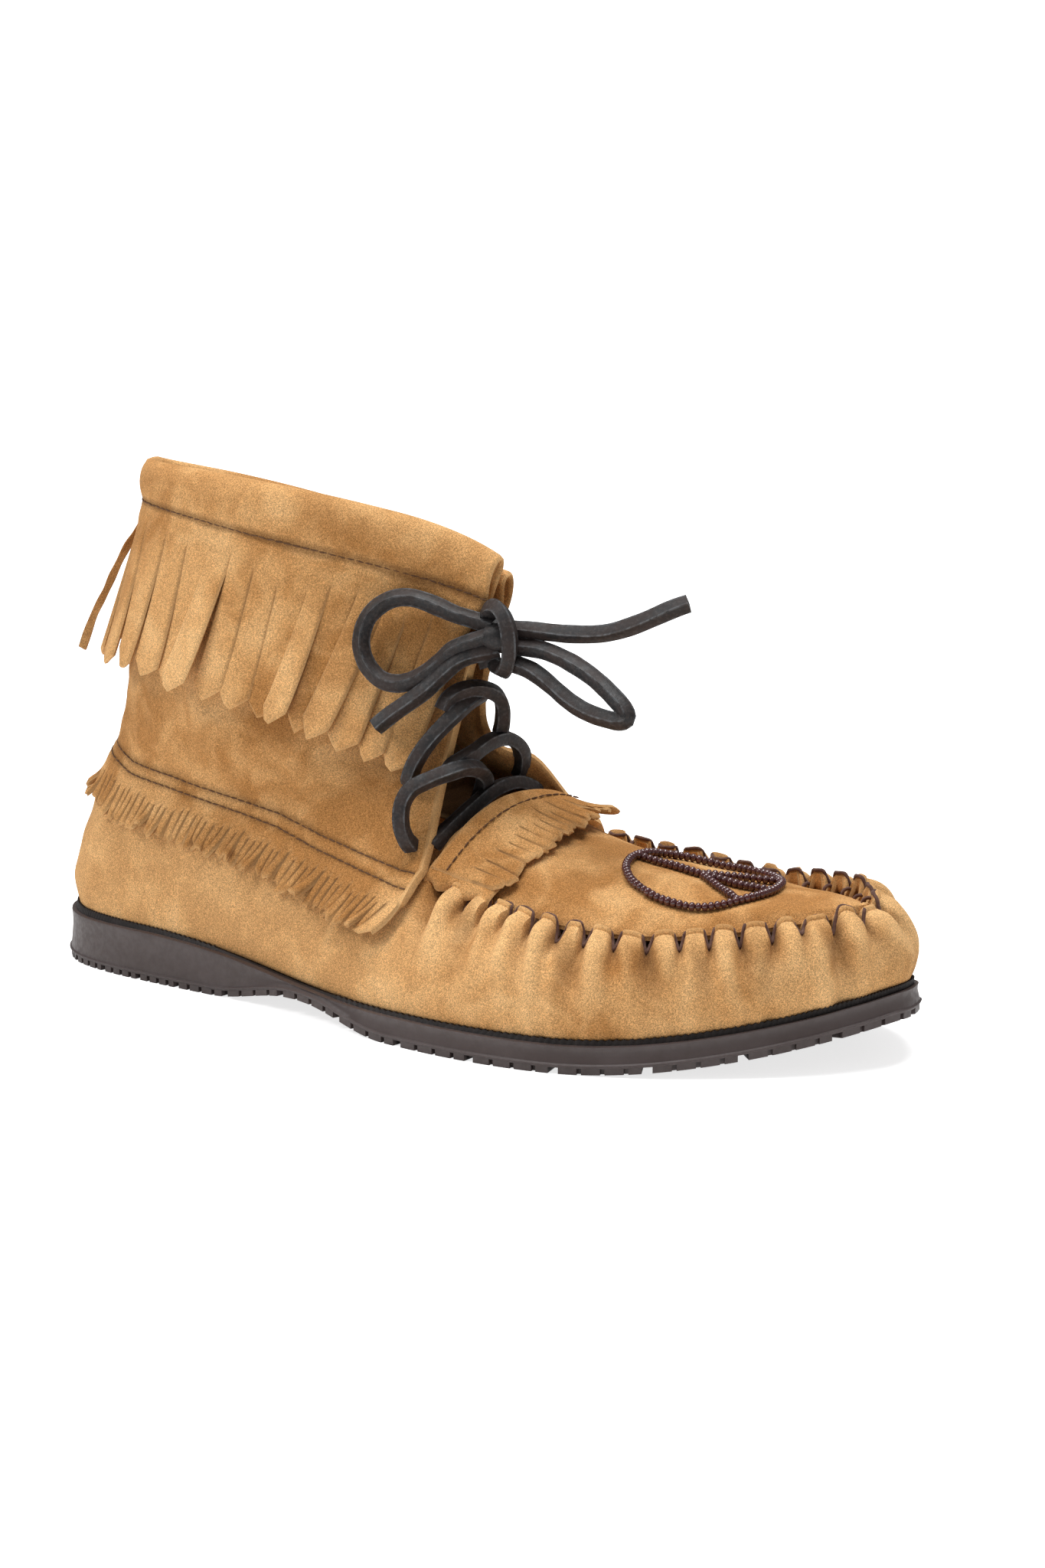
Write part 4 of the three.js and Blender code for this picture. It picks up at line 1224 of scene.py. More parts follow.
def make_thread(look, folds, wide):
    """The thread comes down into each notch, slants up out of it and lies along the top of the
    lobe to the next, with a turn over the edge to the plug beside every notch."""
    # Share of the way to the next notch, mm down the wrap, mm off it, mm behind its edge.
    beats = [(0.00, 5.2, 0.35, 0.0), (0.05, 4.2, 0.50, 0.0), (0.11, 2.8, 0.55, 0.0),
             (0.18, 1.4, 0.55, 0.0), (0.26, 0.4, 0.45, 0.0), (0.36, 0.0, 0.10, 0.3),
             (0.50, 0.0, 0.00, 0.8), (0.66, 0.0, 0.00, 0.9), (0.80, 0.0, 0.10, 0.4),
             (0.88, 0.2, 0.40, 0.0), (0.92, 1.3, 0.55, 0.0), (0.95, 2.8, 0.55, 0.0),
             (0.98, 4.3, 0.45, 0.0)]
    phi, down, off, behind = np.array(beats).T
    k = np.arange(folds.count)[:, None]
    run = mix(folds.notch[k], folds.notch[k + 1], phi)
    round_ = folds.round_at(run)
    p, n, _, _ = puckered(folds, round_, down)
    hidden = np.where(down < 0.1, 1.5 * (folds.lift[k] < 0.1), 0)
    p = p + n * off[:, None] - outward(round_) * (behind * (1 + hidden))[..., None]
    p[..., 2] += np.where(down < 0.1, 0.3 - 0.5 * hidden, 0)
    step = 0.7
    lines = [smooth_path(p.reshape(-1, 3), step)]
    at = folds.round_at(folds.notch[1:-1] - 0.6)
    deep = 3.0 + 2.6 * smooth(at, 0.45, 0.72)
    for top, level, end in zip(puckered(folds, at, 0.3)[0], outward(at), deep):
        over = [(-0.4, -0.8), (0.4, 0.5), (1.5, 0.75), (2.7, 0.2), (3.1, -1.0), (3.3, -end)]
        lines.append(smooth_path([top - level * a + [0, 0, z] for a, z in over], step))
    grown("seam_thread", lines, thread_tree(), look["thread"], Width=wide * MM, Sides=8)


# The ring of beads, in the floor plan.
RING_AT = np.array([228.2, -0.3])
RING_RADIUS = 22.4


def make_beads(look, size, pitch):
    """A ring of beads on the plug, with a line through it from heel to toe and two legs."""
    angle = np.linspace(0, 2 * math.pi, 90)
    lines = [RING_AT + RING_RADIUS * np.stack([np.cos(angle), np.sin(angle)], 1)]
    heel, toe = RING_AT - [21.6, 0.4], RING_AT + [21.4, -0.2]
    lines.append(mix(heel, toe, np.linspace(0, 1, 30)[:, None]))
    for side in (-1, 1):
        leg = RING_RADIUS * 0.955 * np.array([math.cos(0.6), side * math.sin(0.6)])
        lines.append(RING_AT + mix(np.array([0.6, 1.5 * side]), leg, np.linspace(0, 1, 20)[:, None]))
    placed, facings = zip(*(plug_over(line[:, 0], line[:, 1], size * 0.5) for line in lines))
    grown("bead_ring", placed, bead_tree(), look["bead"], facings, Pitch=pitch * MM,
          Size=size * MM, Seed=5)


# ---- leather cut into strips ----
def spread(edges, places):
    """Middles and half widths of the strips between their edges, and the columns of points over
    all of them, at the same places in each."""
    middle, half = (edges[:-1] + edges[1:]) / 2, np.diff(edges) / 2
    return middle, half, np.append(middle[:, None] + half[:, None] * places[:-1], edges[-1])


def slit_sheet(body, cuts, surface):
    """A sheet whose last row goes on in strips that part from each other. Each cut holds its
    first column and the numbers from which the surface lays its points."""
    rows, cols = body.shape[:2]
    points = [body.reshape(-1, 3)]
    faces = [grid_faces(rows, cols)]
    count = rows * cols
    base = (rows - 1) * cols
    strips = surface(*(np.array(numbers) for numbers in list(zip(*cuts))[1:]))
    for (first, *_), strip in zip(cuts, strips):
        high, wide = strip.shape[:2]
        ids = np.empty((high + 1, wide), int)
        ids[0] = base + first + np.arange(wide)
        ids[1:] = count + np.arange(high * wide).reshape(high, wide)
        count += high * wide
        points.append(strip.reshape(-1, 3))
        quads = np.stack([ids[:-1, :-1], ids[:-1, 1:], ids[1:, 1:], ids[1:, :-1]], -1)
        faces.append(quads.reshape(-1, 4))
    return np.concatenate(points), np.concatenate(faces)


# The upper row of ankle stitching: its height at places from the heel to the throat.
SEAM_X = [-10, 21, 36, 55, 79, 99, 116, 133, 148, 165]
SEAM_Z = [73, 71.5, 67, 65, 61, 57.5, 52.5, 48.5, 45.5, 44]
ROW_GAP = 4.2


def ankle_line(turn, below=0.0):
    """How far up the upper row of ankle stitching runs, or a line some mm below it."""
    up = np.zeros_like(turn)
    for _ in range(3):
        x = shaft_at(turn, up)[..., 0]
        z = np.interp(x, SEAM_X, SEAM_Z) + np.where(turn > 0, 1.5 * smooth(x, 90, 130), 0)
        up = up_where(turn, z - below, -0.6)
    return up


def shaft_face(turn, up, off):
    """A place off the shaft by its own facing; near the hem it lies outside the wrap."""
    turn, up, off = np.broadcast_arrays(*(np.asarray(v, float) for v in (turn, up, off)))
    turn = np.clip(turn, -0.998, 0.998)
    n = -facing_of(shaft_at, turn, np.clip(up, -0.9, 0.998))
    hem = 1.35 * smooth(0.10 - up, 0, 0.14)
    return shaft_at(turn, up) + n * (off + hem)[..., None], n


def swept_back(turn, fall):
    """The hem below its stitching hangs a little towards the heel, most of all at the throat."""
    away = np.abs(turn)
    rate = 0.0021 * smooth(away, 0, 0.25) + 0.0056 * smooth(away, 0.75, 1.0)
    return np.sign(turn) * (away - rate * np.maximum(fall, 0))


def facing_bow(turns, up):
    """The inner side's front edge bows up where the lacing pulls on it."""
    pull = smooth(turns, 0.88, 1.0)
    rise = 8.0 * np.exp(-((up - 0.2) / 0.11) ** 2) + 2.5 * np.exp(-((up - 0.62) / 0.1) ** 2)
    return np.stack(np.broadcast_arrays(0, -1.5 * pull, pull * rise), -1)


# How far under the crest the shaft's sheet ends inside the roll, and how far its hem hangs
# below the lower row of stitching.
SHAFT_TOP = 15.0
HEM = 14.4


def make_shaft(look, thick, strip_count):
    places = np.array([-1, -0.55, 0.55, 1])
    per = len(places) - 1
    rng = np.random.default_rng(41)
    wide = rng.uniform(0.75, 1.3, strip_count)
    even = even_turns(0.0, 0.995, 400)
    at = np.append(0, np.cumsum(wide)) / wide.sum()
    edges = np.interp(at, np.linspace(0, 1, len(even)), even)
    middle, half, turns = spread(edges, places)
    crest = under_crest(turns, SHAFT_TOP)
    second = ankle_line(turns, ROW_GAP)
    length = profile_length(line_round(turns))
    slit = rng.uniform(3.4, 6.0, strip_count + 1)
    slit = np.interp(np.arange(len(turns)) / per, np.arange(strip_count + 1), slit)
    hem = second - slit / length
    up = mix(crest, hem, np.linspace(0, 1, 48)[:, None])
    leaned = swept_back(turns, (second - up) * length)
    body, n = shaft_face(leaned, up, 0.0)
    front = 1 - np.abs(np.broadcast_to(turns, up.shape))
    depth = 0.5 * waver(body, 34, 51) + 0.28 * waver(body * [1, 1, 1.8], 17, 52)
    depth = depth * smooth(front, 0, 0.12) * smooth(up, -0.02, 0.2)
    depth += 1 - smooth(front, 0.004, 0.03)
    # The two rows of stitching draw the leather in.
    pinch = sum(0.35 * np.exp(-((up - row) * 60 / 1.2) ** 2) for row in (ankle_line(turns), second))
    body = body + n * (depth - pinch * smooth(front, 0, 0.03))[..., None]
    body = body + facing_bow(turns, up)
    under = shaft_at(turns, 1.0)[:, 2] - body[..., 2]
    # Painted shadow of the flap: a dark band on the shaft below it.
    brushed = 0.18 * np.exp(-((under - 57) / 13) ** 2) * smooth(front, 0.02, 0.2)
    # Marks of painted shade: along the two drawn-in stitch rows, and the flap's shadow.
    cuts, marks = [], [(1.6 * pinch * smooth(front, 0, 0.03) + brushed).ravel()]
    for k in range(strip_count):
        own = slice(k * per, (k + 1) * per + 1)
        long = HEM + rng.uniform(-0.9, 0.9) - slit[own]
        ragged = rng.uniform(-1.0, 1.0, per + 1)
        sway = rng.normal(0, 0.35) + 0.5 * math.sin(k * 0.37) + 0.4 * math.sin(k * 0.11 + 2)
        curl = max(0, rng.normal(0.4, 0.8))
        tilt = rng.normal(0, 0.2)
        if rng.random() < 0.13:
            curl, sway = curl + rng.uniform(1.0, 2.8), sway + rng.uniform(-1.6, 1.6)
        t = np.linspace(0, 1, 9)[1:, None]
        fall = t * (long + ragged * t ** 2)
        turn = middle[k] + half[k] * places * (0.96 - 0.12 * t) + sway * 0.0045 * t * t
        turn = swept_back(turn, slit[own] + fall)
        off = 0.25 * t + curl * t ** 2.5 + tilt * places * t
        off = off + 0.7 * (1 - smooth(front[0, own], 0.004, 0.03)) * (1 - t)
        cuts.append((own.start, turn, hem[own] - fall / length[own], off))
        # Painted shade along the slits between the strips, fading towards the tips.
        marks.append(np.broadcast_to([0.75, 0, 0, 0.75] * (1 - 0.6 * t ** 2), turn.shape).ravel())
    flat, faces = slit_sheet(body, cuts, lambda *numbers: shaft_face(*numbers)[0])
    heavy = np.full(len(flat), thick / 2)
    heavy[:up.size] += (0.9 * (1 - smooth(front, 0.01, 0.03))).ravel()
    points, faces, (cut, dark) = thicken(flat, faces, -heavy, heavy, np.concatenate(marks))
    # Painted shade over the whole inner face.
    inner = slice(len(flat), 2 * len(flat))
    dark[inner] = np.maximum(dark[inner], 0.4)
    # The inner side's front edge is doubled; where it catches the light a highlight is painted along
    # it.
    painted_lip_highlight = np.where(turns > 0, 1 - smooth(front, 0.012, 0.022), 0).ravel()
    for face in (0, len(flat)):
        dark[face:face + painted_lip_highlight.size] *= 1 - painted_lip_highlight
        cut[face:face + painted_lip_highlight.size] = np.maximum(cut[face:face + painted_lip_highlight.size], 0.9 * painted_lip_highlight)
    mesh_piece("shaft", points, faces, look["suede"], ["upper", "ankle_fringe"], "upper_suede",
               {"cut": cut * 0.8, "crease": dark})
    spine, _ = shaft_face(0.0, np.linspace(0.02, 0.82, 50), 0.9)
    seam_ridge("shaft_back_seam", spine, look["suede"], 1.6, 1.1)


# The collar's stitching: how far off the shaft it lies, and how far below the crest.
STITCH_OFF, STITCH_DEPTH = 2.35, 12.6
# Collar section, inside to outside: how far off the shaft, and how high over the crest.
COLLAR = [(-0.5, -21.0), (-0.4, -16.0), (-0.6, -11.0), (-1.4, -6.5), (-1.9, -3.6), (-1.2, -1.7),
          (0.3, -0.95), (2.0, -1.6), (3.3, -3.4), (3.9, -6.0), (3.8, -8.6), (3.1, -11.0),
          (STITCH_OFF, -STITCH_DEPTH)]


def seam_draw(turn):
    """The collar lies 2 mm closer to the shaft where its ends are sewn together at the back."""
    return 2.0 * np.exp(-(np.asarray(turn) / 0.15) ** 2)


def collar_crown(turn):
    """The roll stands taller along the outer side and lies a little lower along the inner."""
    def swell(side):
        return smooth(side, 0.14, 0.6) * smooth(1 - side, 0, 0.33)

    return 3.7 * swell(np.maximum(-turn, 0)) - 0.8 * swell(np.maximum(turn, 0))


# The flap's strips on the outer side, from the back seam to the throat.
STRIPS = table("top_back top_front low_back low_front slit lift twist", [
    [0.0, 11.7, 4.0, 19.0, 8.0, 0.8, 4],
    [11.7, 23.3, 19.8, 31.0, 7.6, 1.2, 5],
    [23.3, 37.2, 30.7, 41.3, 6.9, 0.9, 5],
    [37.2, 47.7, 41.0, 54.6, 7.4, 0.6, 4],
    [47.7, 57.0, 53.5, 64.0, 9.6, 0.2, 2],
    [57.0, 65.6, 58.0, 69.6, 6.7, 3.0, 9],
    [65.6, 74.6, 69.8, 80.5, 8.8, 0.3, 2],
    [74.6, 83.3, 80.2, 91.0, 12.2, 0.4, 2],
    [83.3, 93.0, 90.7, 101.0, 10.9, 0.1, 1],
    [93.0, 99.4, 97.6, 106.0, 7.8, 2.8, 9],
    [99.4, 108.1, 105.8, 114.5, 8.5, 0.1, 1],
    [108.1, 118.0, 111.4, 121.3, 12.8, 1.9, 6],
    [118.0, 125.1, 121.2, 132.5, 12.8, 1.0, 5],
    [125.1, 133.0, 132.6, 141.7, 10.5, 0.8, 4],
    [133.0, 145.5, 141.6, 152.0, 14.0, 0.8, 3],
])


# The flap's length below its stitching, from the front edges of the collar to the back.
FLAP_TURN = [-1, -0.87, -0.76, -0.68, -0.6, -0.5, -0.43, -0.36, -0.3, -0.2]
FLAP_REACH = [54.6, 54.0, 53.5, 51.9, 51.1, 50.1, 50.1, 48.3, 49.2, 49.5]


def flap_reach(turn):
    """Length of the flap below its stitching, tips included."""
    return np.interp(-np.abs(turn), FLAP_TURN, FLAP_REACH)


def flap_at(turn, fall, off, ahead=0.0):
    """A place on the hanging flap, `fall` mm below the stitching and `ahead` mm to the front."""
    part = fall / flap_reach(turn)
    leaned = lean_back(turn, 0.13 * part - np.asarray(ahead) / 130)
    flare = 7.0 * np.clip(part, 0, 2) ** 1.6 * (1 - 0.4 * share_of(np.abs(turn)))
    depth = STITCH_DEPTH + fall
    up = under_crest(leaned, depth)
    n = -facing_of(shaft_at, np.clip(leaned, -0.996, 0.996), up)
    level = unit(n * [1, 1, 0.25])
    flare = flare - seam_draw(leaned) * np.exp(-np.abs(fall) / 8)
    p = shaft_at(leaned, up) + level * (STITCH_OFF + flare + off)[..., None]
    p[..., 2] = shaft_at(leaned, 1.0)[..., 2] - depth
    return p


class CollarRun:
    """Places round the collar in mm, from the outer side's front edge (below 0) over the back
    seam (0) to the inner side's."""

    def __init__(self):
        self.turns = even_turns(0.75, 0.988, 600)
        self.reach = float(STRIPS["top_front"][-1])
        self.runs = np.linspace(-self.reach, self.reach, 601)

    def turn_at(self, run):
        return np.interp(run, self.runs, self.turns)

    def ahead_at(self, run):
        return np.maximum(np.abs(run) - self.reach, 0)


def make_collar(look, thick):
    rng = np.random.default_rng(61)
    way = CollarRun()
    sides = len(STRIPS["slit"])
    # From the outer side's front edge over the back to the inner side's front edge.
    row = {}
    for end in ("top", "low"):
        row[end + "_a"] = np.concatenate([-STRIPS[end + "_front"][::-1], STRIPS[end + "_back"]])
        row[end + "_b"] = np.concatenate([-STRIPS[end + "_back"][::-1], STRIPS[end + "_front"]])
    for key in ("lift", "twist"):
        row[key] = np.concatenate([STRIPS[key][::-1], STRIPS[key]])
    row["low_a"][sides:] += rng.uniform(-1.2, 1.2, sides)
    row["low_b"][sides:] += rng.uniform(-1.2, 1.2, sides)
    slits = np.concatenate([STRIPS["slit"][::-1], [8.0], STRIPS["slit"] + rng.uniform(-1, 4, sides)])
    places = np.array([-1, -0.88, -0.45, 0, 0.45, 0.88, 1])
    per = len(places) - 1
    edges = np.append(row["top_a"], row["top_b"][-1])
    middle, half, runs = spread(edges, places)
    turns = way.turn_at(runs)
    slit = np.interp(runs, edges, slits)
    crest, out = crest_frame(turns)
    section = smooth_path([(a, b, 0) for a, b in COLLAR], 1.15)[:, :2]
    fat = 1 + 0.10 * waver(crest, 45, 62) + 0.05 * waver(crest, 16, 63)
    rows = []
    for o, dz in section:
        p = shaft_at(turns, under_crest(turns, max(-dz, 0.6)))
        drawn = seam_draw(turns) * smooth(o, 0, 2.3)
        p = p + out * (o * np.where(o > 0, fat, 1) - drawn)[:, None]
        p[:, 2] = crest[:, 2] + dz + collar_crown(turns) * smooth(dz, -STITCH_DEPTH, -2.0)
        rows.append(p)
    for part in np.linspace(0, 1, 9)[1:]:
        off = 0.35 * waver(crest + [0, 0, 30 * part], 30, 64) * part
        rows.append(flap_at(turns, slit * part, off))
    body = np.array(rows)
    # Painted shade along the stitching under the roll, and wear with a painted highlight along the
    # roll's top.
    marks = np.zeros(body.shape[:2] + (2,))
    marks[len(section) - 2:len(section) + 1, :, 0] = 0.5
    high = np.exp(-((section[:, 1] + 2.0) / 4.5) ** 2) * (section[:, 0] > -1.5)
    marks[:len(section), :, 1] = 0.2 * high[:, None]
    cuts, marks = [], [marks.reshape(-1, 2)]
    for k in range(2 * sides):
        own = slice(k * per, (k + 1) * per + 1)
        tip_at = rng.uniform(-0.15, 0.2)
        point = 4.4 + rng.uniform(-0.4, 0.6)
        beside = places - tip_at
        shape = 1 - np.abs(beside) / (1 - np.abs(tip_at) * np.sign(beside))
        low_a, low_b = row["low_a"][k], row["low_b"][k]
        foot = (low_a + low_b) / 2 + (low_b - low_a) / 2 * places
        long = flap_reach(way.turn_at(foot.mean())) - point + rng.uniform(-0.4, 0.4)
        lift, twist = 1.35 * row["lift"][k], 2.2 * row["twist"][k]
        wave = rng.uniform(-0.4, 0.5)
        t = np.linspace(0, 1, 19)[1:, None]
        fall = mix(slit[own], long, np.minimum(t / 0.9, 1))
        fall = fall + point * shape * smooth(t, 0.8, 1.0)
        low = np.clip((fall - 8) / 40, 0, 1.1)
        narrow = 1 - 0.055 * smooth(t, 0, 0.1) - 0.025 * low
        top = middle[k] + half[k] * places * narrow
        run = mix(top, foot, low ** 1.15)
        ahead = 1.0 if k >= sides else -1.0
        off = (lift * low ** 1.2 + math.radians(twist) * 4.8 * (places * ahead) * low
               + wave * np.sin(math.pi * low) + 0.35 * waver(crest[own] + [0, 0, 30], 30, 64))
        cuts.append((own.start, way.turn_at(run), fall, off, way.ahead_at(run)))
        # Painted shade along the slit edges, lighter on lifted strips; lifted strips get a painted
        # highlight.
        sharp = np.clip(1 - lift / 6, 0.4, 1) * (np.abs(places) > 0.95)
        dark = np.broadcast_to(sharp * (1 - 0.6 * smooth(t, 0.5, 0.9)), fall.shape)
        wear_and_highlight = np.broadcast_to(0.12 * lift * low, fall.shape)
        marks.append(np.stack([dark.ravel(), wear_and_highlight.ravel()], 1))
    flat, faces = slit_sheet(body, cuts, flap_at)
    points, faces, (cut, marks) = thicken(flat, faces, -thick / 2, thick / 2,
                                          np.concatenate(marks))
    # In the slits, painted shade stays faint on the strips' faces and deep on their cut walls.
    strips = slice(body.shape[0] * body.shape[1], None)
    marks[strips, 0] *= np.where(np.arange(len(points)) < 2 * len(flat), 0.25, 0.85)[strips]
    mesh_piece("collar_and_flap", points, faces, look["suede"], ["collar_roll", "long_fringe"],
               "collar_suede", {"cut": cut * 0.7, "crease": marks[:, 0], "wear_and_highlight": marks[:, 1]})
    stray_strand(look)


def stray_strand(look):
    """One narrow strip at the back has come away from its neighbours and hangs apart."""
    route = [[22.8, -1.2, 141.5], [19.6, -2.2, 136.2], [16.3, -2.9, 131.7], [11.8, -4.0, 123.6],
             [8.2, -4.0, 117.5], [3.3, -3.9, 110.2], [0.0, -3.8, 104.0], [-3.1, -3.5, 97.7]]
    path = smooth_path(route, 1.4)
    lefts, ups = carried_frames(path, [0.25, 1.0, 0.0], np.linspace(20, 66, len(path)))
    section = np.array([[-2.0, -0.8], [2.0, -0.8], [2.2, 0], [2.0, 0.8], [-2.0, 0.8], [-2.2, 0]])
    size = np.linspace(0.5, 0.66, len(path)) + 0.05 * waver(path, 5, 66)
    points, faces = swept(path, section, lefts, ups, size)
    mesh_piece("stray_strand", points, faces, look["suede"], slot="fringe_suede",
               marks={"crease": np.full(len(points), 0.35)}, crease=60)


# Across the foot of the throat, from the outer side: how far along the plug the kiltie's tips
# reach, and where its slits begin.
KILTIE_FRONT = ([-0.95, -0.84, -0.64, -0.4, -0.13, 0.2, 0.5, 0.8],
                [0.124, 0.136, 0.135, 0.131, 0.119, 0.093, 0.078, 0.070])
KILTIE_SLIT = ([-0.95, -0.75, -0.64, -0.345, -0.11, 0.1, 0.8],
               [0.070, 0.072, 0.079, 0.068, 0.052, 0.046, 0.030])
KILTIE_OFF = 1.35


def over_plug(across, along, off):
    """A place off the plug; behind the throat it goes on up the slope of the tongue."""
    across, along, off = np.broadcast_arrays(*(np.asarray(v, float) for v in (across, along, off)))
    p = plug_at(np.clip(along, 0, 1), across)
    n = facing_of(plug_at, np.clip(along, 2e-3, 0.99), np.clip(across, -0.97, 0.97))
    p = p + n * off[..., None]
    behind = np.minimum(along, 0) * 220.0
    p[..., 0] += behind
    p[..., 2] -= behind * 0.75
    return p


def make_kiltie(look, thick):
    """The little fringed flap across the foot of the throat."""
    rng = np.random.default_rng(81)
    count = 16
    places = np.array([-1, -0.8, 0, 0.8, 1])
    per = len(places) - 1
    at = np.append(0, np.cumsum(rng.uniform(0.8, 1.25, count)))
    edges = -0.95 + 1.55 * at / at[-1]
    middle, half, across = spread(edges, places)
    front = np.interp(across, *KILTIE_FRONT)
    slit = np.interp(across, *KILTIE_SLIT)
    slit = slit + np.interp(across, edges, rng.uniform(-0.012, 0.012, count + 1))
    begin = 0.008 - 0.006 * smooth(across, -0.7, 0.2)
    rows = []
    for part in np.linspace(0, 1, 12):
        a = mix(begin, slit, part)
        off = 0.3 * waver(np.stack([a * 215, across * 30, a * 0], -1), 14, 82)
        rows.append(over_plug(across, a, KILTIE_OFF + off))
    body = np.array(rows)
    cuts, marks = [], [np.zeros(body.shape[0] * body.shape[1])]
    for k in range(count):
        own = slice(k * per, (k + 1) * per + 1)
        total = front[own] + rng.uniform(-0.006, 0.006)
        ragged = rng.uniform(-0.004, 0.004, per + 1)
        far_end = smooth(middle[k], 0.2, 0.6)
        lift = rng.uniform(0.1, 0.8) + far_end * rng.uniform(0.5, 3.4)
        sway = rng.normal(0, 0.01) + 0.05 * smooth(middle[k], -0.4, 0.3)
        sway = sway + far_end * rng.uniform(-0.04, 0.05)
        tilt = rng.normal(0, 0.25) * (1 + far_end)
        t = np.linspace(0, 1, 9)[1:, None]
        a = mix(slit[own], total + ragged * t, t)
        b = middle[k] + half[k] * places * (0.94 - 0.07 * t) + sway * t * t
        cuts.append((own.start, b, a, KILTIE_OFF + lift * t ** 1.8 + tilt * places * t))
        # Painted shade along the slit edges, fading towards the tips.
        marks.append(np.broadcast_to([0.7, 0, 0, 0, 0.7] * (1 - 0.8 * t), b.shape).ravel())
    flat, faces = slit_sheet(body, cuts, over_plug)
    points, faces, (cut, dark) = thicken(flat, faces[:, ::-1], -thick / 2, thick / 2,
                                         np.concatenate(marks))
    mesh_piece("kiltie", points, faces, look["suede"], ["kiltie"], "kiltie_suede",
               {"cut": cut, "crease": dark})
    # At its outer end the kiltie is folded double, and the ragged under layer shows.
    a = np.linspace(0.004, 0.122, 40)
    edge = np.stack([over_plug(b + 0.02 * np.sin(a * 150), a, off)
                     for b, off in ((-0.90, 0.5), (-0.95, 0.7), (-1.0, 0.5), (-1.04, -0.3))])
    edge[2:] += 0.5 * waver(edge[2:], 6, 85)[..., None]
    points, faces, cut = thicken(edge.reshape(-1, 3), grid_faces(4, 40)[:, ::-1], -0.9, 0.9)
    mesh_piece("kiltie_fold", points, faces, look["suede"], ["kiltie"], "kiltie_suede",
               {"cut": cut})


# ---- lace and bow ----
# The bow faces the front of the outer side: its way out, and its way across.
BOW_OUT = unit([0.5376, -0.8243, 0.1772])
BOW_ACROSS = unit([0.8377, 0.5461, 0.0])
THONG_STEP = 0.9
KNOT_AT = np.array([165.0, -12.6, 113.6])
LATERAL_LOOP = [
    [163.4, -11.8, 117.1], [156.6, -12.7, 118.7], [151.0, -13.6, 120.0], [146.6, -14.8, 121.7],
    [142.2, -16.2, 123.4], [137.8, -17.8, 124.5], [133.6, -19.7, 124.2], [129.8, -22.0, 122.1],
    [127.0, -24.0, 118.7], [125.8, -25.6, 114.2], [126.2, -26.6, 109.6], [128.6, -27.0, 104.8],
    [132.8, -26.6, 101.0], [137.4, -25.4, 99.8], [141.6, -23.7, 100.6], [145.8, -21.8, 103.1],
    [150.0, -20.0, 106.8], [154.2, -18.6, 110.6], [163.6, -13.8, 114.6],
]
LATERAL_END = [
    [165.6, -12.8, 110.6], [160.4, -15.8, 109.2], [156.8, -18.0, 107.9], [154.2, -19.3, 106.2],
    [151.6, -20.6, 103.6], [149.2, -21.8, 101.0], [147.0, -23.0, 98.6], [144.8, -24.2, 96.6],
    [142.6, -25.4, 94.8], [140.6, -26.4, 93.2], [138.8, -27.3, 91.8], [137.2, -28.2, 90.4],
    [135.8, -29.0, 89.1], [134.6, -29.6, 88.0], [133.6, -30.2, 87.0],
]
FRONT_END = [
    [168.9, -9.8, 116.4], [173.8, -9.0, 116.3], [177.6, -8.6, 116.2], [181.6, -8.2, 116.1],
    [185.6, -7.8, 116.0], [189.6, -7.4, 116.1], [193.6, -6.8, 116.3], [197.6, -6.2, 116.8],
    [201.4, -5.4, 117.7], [205.2, -4.6, 119.0], [208.8, -3.6, 120.5], [212.2, -2.4, 122.1],
    [215.4, -1.2, 123.7], [218.4, 0.2, 125.1], [221.2, 1.6, 126.2],
]
FRONT_LOOP = [
    [169.6, -10.9, 111.6], [174.6, -10.4, 111.5], [179.2, -10.4, 111.1], [184.0, -10.8, 110.1],
    [188.8, -11.2, 108.6], [193.4, -11.7, 106.8], [197.8, -12.2, 104.7], [202.0, -12.8, 102.2],
    [206.0, -13.4, 99.4], [209.4, -14.0, 96.6], [210.6, -14.6, 94.2], [208.2, -15.0, 93.2],
    [203.8, -15.0, 93.6], [199.4, -14.8, 94.4], [195.2, -14.4, 95.6], [191.2, -13.8, 97.2],
    [187.4, -13.2, 99.2], [183.6, -12.6, 101.4], [179.6, -12.2, 103.6], [175.2, -11.8, 105.4],
    [168.5, -11.8, 107.0],
]
LOWER_BAR = [
    [153.2, -29.2, 53.5], [153.9, -27.6, 55.1], [155.1, -21.3, 58.7], [156.6, -13.4, 62.8],
    [158.0, -4.4, 66.7], [159.6, 4.8, 67.9], [160.5, 12.2, 65.4], [160.4, 16.2, 62.6],
    [160.0, 17.6, 60.3],
]
RISING_BAR = [
    [154.4, -24.0, 73.9], [154.9, -20.0, 76.4], [157.1, -14.0, 78.9], [158.4, -7.0, 81.6],
    [159.6, -0.5, 82.2], [160.6, 4.2, 80.2], [160.2, 8.0, 76.8], [158.4, 10.6, 72.6],
    [156.2, 12.2, 69.0],
]
HOLE_BAR = [
    [148.5, -33.0, 53.3], [148.3, -35.8, 56.0], [147.2, -36.6, 60.3], [146.8, -35.5, 65.8],
    [148.2, -33.2, 70.1], [151.4, -30.0, 72.5], [155.7, -25.5, 74.7], [158.8, -19.0, 75.7],
    [159.2, -12.5, 73.8], [156.5, -6.5, 69.6], [151.5, -2.0, 63.0],
]
UPPER_BAR = [
    [142.0, -24.5, 70.0], [143.9, -27.5, 72.5], [146.4, -27.5, 78.0], [149.7, -25.5, 83.7],
    [152.8, -22.0, 88.5], [154.9, -17.5, 92.2], [156.4, -12.5, 95.0], [157.0, -7.0, 96.5],
]
